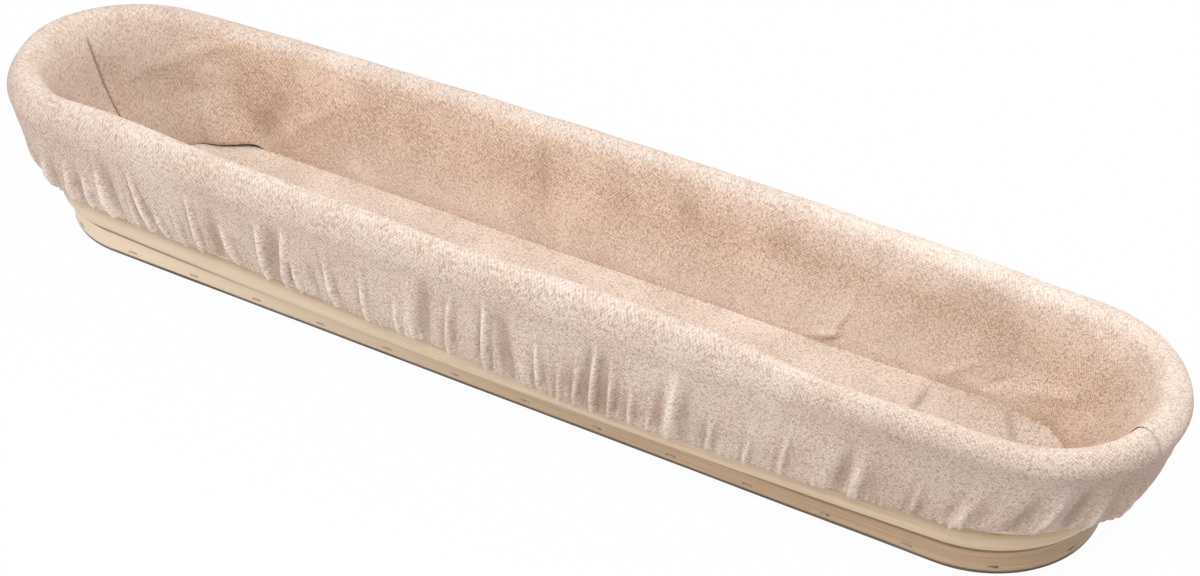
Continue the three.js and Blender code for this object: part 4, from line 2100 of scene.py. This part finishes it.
@dataclass
class FloorPanel:
    """The liner's floor, sewn into the side panels and a little wrinkled."""

    name: str
    node: str
    cloth: Cloth
    creases: tuple[Crease, ...]
    columns: int = 520
    rows: int = 96
    ripples: tuple[Ripple, ...] = (
        Ripple(0.5 * MM, 45 * MM, 30 * MM, 51.0),
        Ripple(0.3 * MM, 14 * MM, 20 * MM, 53.0),
    )
    flat_edge: float = 1 / 6
    end_rise: float = 2.5 * MM
    end_from: float = 138 * MM
    end_run: float = 26 * MM
    side_from: float = 0.45
    side_run: float = 0.4
    # Less of the inside colour, painted bounce light, towards the +X end of the floor
    greyed: float = 0.8
    greyed_from: float = 110 * MM
    greyed_run: float = 50 * MM
    # Painted shade in the floor's crease hollows
    crease_shade: float = 0.5

    def build(self, look: bpy.types.Material) -> None:
        """Make the floor and dress it.

        Args:
            look: Its finish.
        """
        oval = self.cloth.floor_oval

        def place(along: float, across: float) -> Point:
            """Place a point of the floor.

            Args:
                along: Share of its columns along it.
                across: Share of its width.

            Returns:
                The point.
            """
            x = -math.cos(math.pi * along) * oval.length / 2
            past = max(0.0, abs(x) - oval.end_x)
            half = math.sqrt(max(0.0, oval.end_radius**2 - past**2))
            y = (2 * across - 1) * (half + oval.bow * max(0.0, 1 - (x / oval.end_x) ** 2))
            rim = math.hypot(past, y) / oval.end_radius
            # Less of the inside colour, painted bounce light, towards the +X end
            warm = 1 - self.greyed * smooth((x - self.greyed_from) / self.greyed_run)
            # Painted shade in the creases' hollows
            creased = self.crease_shade * smooth(-self.folds(x, y))
            spot = Vector((x, y, self.cloth.floor_z + self.rise(x, y, rim)))
            return Point(spot, x, y, warm, creased)

        floor = surface(self.name, self.columns, self.rows, place, ring=True)
        settle(floor, Body.LINER, Slot.LINEN, look, self.node)
        area = math.pi * (oval.width / 2) ** 2 + oval.width * (oval.length - oval.width)

    def folds(self, x: float, y: float) -> float:
        """Give how far the floor's creases stand up at a place, in millimetres."""
        return sum(crease.out(x / MM, y / MM) for crease in self.creases)

    def rise(self, x: float, y: float, rim: float) -> float:
        """Give how far the floor's cloth lies over its seam.

        Args:
            x: Place along the basket.
            y: Place across it.
            rim: Share of the way from the floor's middle line to its seam.

        Returns:
            The height.
        """
        wrinkled = total(self.ripples, x, y) + self.folds(x, y) * MM
        end = smooth((x - self.end_from) / self.end_run) * smooth((rim - self.side_from) / self.side_run)
        return wrinkled * smooth((1 - rim) / self.flat_edge) + self.end_rise * end


@dataclass
class Liner:
    """The linen liner: a floor and two side panels, folded over the rim and gathered at the hem."""

    cloth: Cloth
    back_gathers: StrewnGathers = StrewnGathers(seed=11)
    # Painted light on the front rim fades out from this far over it
    front_painted_light_from: float = 0.22

    def build(self) -> None:
        """Make the panels and the floor, and dress them."""
        look = LINEN.material()
        cloth = self.cloth
        seam = -cloth.seam_shift / cloth.perimeter
        SidePanel(
            "liner_back_panel",
            "liner_back",
            cloth,
            seam,
            self.back_gathers.along(cloth.perimeter / 2 / MM),
            BACK_CREASES,
            **BACK_CUT,
        ).build(look)
        SidePanel(
            "liner_front_panel",
            "liner_front",
            cloth,
            seam + 1 / 2,
            FRONT_GATHERS,
            painted_light_from=self.front_painted_light_from,
            **FRONT_CUT,
        ).build(look)
        floor = FloorPanel("liner_floor_panel", "liner_floor", cloth, FLOOR_CREASES)
        # The floor's paler linen is painted light from above
        floor.build(FLOOR_LINEN.material())


@dataclass
class HemElastic:
    """The flat elastic in the liner's hem."""

    cloth: Cloth
    width: float = 4 * MM
    thickness: float = 0.6 * MM
    columns: int = 600
    rows: int = 16
    rounding: float = 0.4

    def build(self) -> None:
        """Make the elastic and dress it."""
        cloth = self.cloth
        wall = cloth.wall
        inner = cloth.cover + wall.seat / 2

        def place(along: float, around: float) -> Point:
            """Place a point of the elastic.

            Args:
                along: Share of its length.
                around: Share of the way round its section.

            Returns:
                The point.
            """
            angle = 2 * math.pi * around
            across = math.copysign(abs(math.cos(angle)) ** self.rounding, math.cos(angle)) / 2
            upward = math.copysign(abs(math.sin(angle)) ** self.rounding, math.sin(angle)) / 2
            low = cloth.hem(along) + cloth.thickness + wall.seat
            out = inner + self.thickness * (0.5 + across)
            height = low + self.width * (0.5 + upward)
            return Point(wall.at(along).point(out, height), along * cloth.perimeter, height)

        band = surface("hem_band", self.columns, self.rows, place, tube=True, ring=True)
        settle(band, Body.LINER, Slot.ELASTIC, ELASTIC.material(), "hem_elastic")


# Wire, studio and the whole


def dress_wire(nodes: dict[str, bpy.types.Object]) -> None:
    """Give the staples and brads their finish.

    Args:
        nodes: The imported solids, by name.
    """
    look = WIRE.material()
    for name, node in nodes.items():
        if name.startswith(("foot_staple", "rim_brad")):
            node.data.materials.clear()
            node.data.materials.append(look)
            LOG.info("%s: dressed as wire", name)


@dataclass(frozen=True)
class Lamp:
    """A soft round lamp that faces the basket."""

    name: str
    place: tuple[float, float, float]
    size: float
    power: float

    def hang(self, aim: Vector) -> None:
        """Hang the lamp and turn it to a place.

        Args:
            aim: The place that it faces.
        """
        data = bpy.data.lights.new(self.name, "AREA")
        data.shape = "DISK"
        data.size = self.size
        data.energy = self.power
        lamp = bpy.data.objects.new(self.name, data)
        lamp.location = self.place
        lamp.rotation_mode = "QUATERNION"
        lamp.rotation_quaternion = (aim - Vector(self.place)).to_track_quat("-Z", "Y")
        bpy.context.scene.collection.objects.link(lamp)


LAMPS = (
    Lamp("overhead", (0.2, -0.5, 1.35), 1.4, 17.3),
    Lamp("left", (-0.4, -0.7, 0.25), 0.35, 1.5),
    Lamp("back", (0.2, 0.9, 1.0), 0.8, 6.5),
)
WHITE = (1.0, 1.0, 1.0, 1.0)


@dataclass
class Studio:
    """Camera, soft light and a white table."""

    azimuth: float = 30.23
    elevation: float = 36.89
    distance: float = 804.7 * MM
    aim: Vector = field(default_factory=lambda: Vector((21.75, -1.25, 30)) * MM)
    lens: float = 71.04
    sensor: float = 36.0
    near: float = 0.01
    table: float = 6.0
    table_grey: float = 0.72
    table_white: float = 0.97
    sky: float = 0.48

    def camera(self) -> None:
        """Set the camera at the photograph's angle."""
        azimuth, elevation = math.radians(self.azimuth), math.radians(self.elevation)
        flat = math.cos(elevation)
        back = Vector((math.sin(azimuth) * flat, -math.cos(azimuth) * flat, math.sin(elevation)))
        data = bpy.data.cameras.new("camera")
        data.lens = self.lens
        data.sensor_width = self.sensor
        data.clip_start = self.near
        camera = bpy.data.objects.new("camera", data)
        camera.location = self.aim + back * self.distance
        camera.rotation_mode = "QUATERNION"
        camera.rotation_quaternion = (-back).to_track_quat("-Z", "Y")
        bpy.context.scene.collection.objects.link(camera)
        bpy.context.scene.camera = camera

    def shown_white(self, bench: Bench) -> Shade:
        """Give 1 for the rays to which the table and the room look white.

        Args:
            bench: The nodes that are added to.

        Returns:
            1 for those rays, and 0 for others.
        """
        kinds = ("Is Camera Ray", "Is Glossy Ray", "Is Transmission Ray")
        camera, glossy, through = (bench.node("ShaderNodeLightPath", {}, {}, kind) for kind in kinds)
        return camera.maths("MAXIMUM", camera.maths("MAXIMUM", camera, glossy), through)

    def surroundings(self) -> None:
        """Light from all round, which looks white to the camera and in reflections."""
        world = bpy.data.worlds.new("room")
        bpy.context.scene.world = world
        bench = Bench(world)
        light = bench.node("ShaderNodeBackground", {}, {"Color": WHITE, "Strength": self.sky})
        white = bench.node("ShaderNodeBackground", {}, {"Color": WHITE, "Strength": 1.0})
        sockets = {0: self.shown_white(bench), 1: light, 2: white}
        bench.show(bench.node("ShaderNodeMixShader", {}, sockets), "ShaderNodeOutputWorld")

    def floor(self) -> None:
        """Lay the white table, which keeps the basket's shadow."""
        bm = bmesh.new()
        bmesh.ops.create_grid(bm, x_segments=1, y_segments=1, size=self.table / 2)
        bench, material = Bench.of_material("table_white")
        grey = opaque((self.table_grey,) * 3)
        plain = bench.node("ShaderNodeBsdfDiffuse", {}, {"Color": grey})
        white = bench.node("ShaderNodeEmission", {}, {"Color": WHITE, "Strength": 1.0})
        sockets = {0: self.shown_white(bench) * self.table_white, 1: plain, 2: white}
        bench.show(bench.node("ShaderNodeMixShader", {}, sockets))
        table = keep(bm, "table")
        table.data.materials.append(material)

    def build(self) -> None:
        """Set up the studio."""
        bpy.context.scene.view_settings.view_transform = "Standard"
        self.camera()
        self.surroundings()
        for lamp in LAMPS:
            lamp.hang(self.aim)
        self.floor()
        LOG.info("studio: camera, %d lamps and table", len(LAMPS))


def main() -> None:
    """Build the basket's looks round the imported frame."""
    logging.basicConfig(level=logging.INFO, format="%(message)s")
    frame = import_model()
    Studio().build()
    wall = Wall()
    FootBand(wall.foot).build()
    Cane(wall).build()
    cloth = Cloth(wall)
    Liner(cloth).build()
    HemElastic(cloth).build()
    dress_wire(frame["nodes"])
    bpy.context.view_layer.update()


if __name__ == "__main__":
    main()
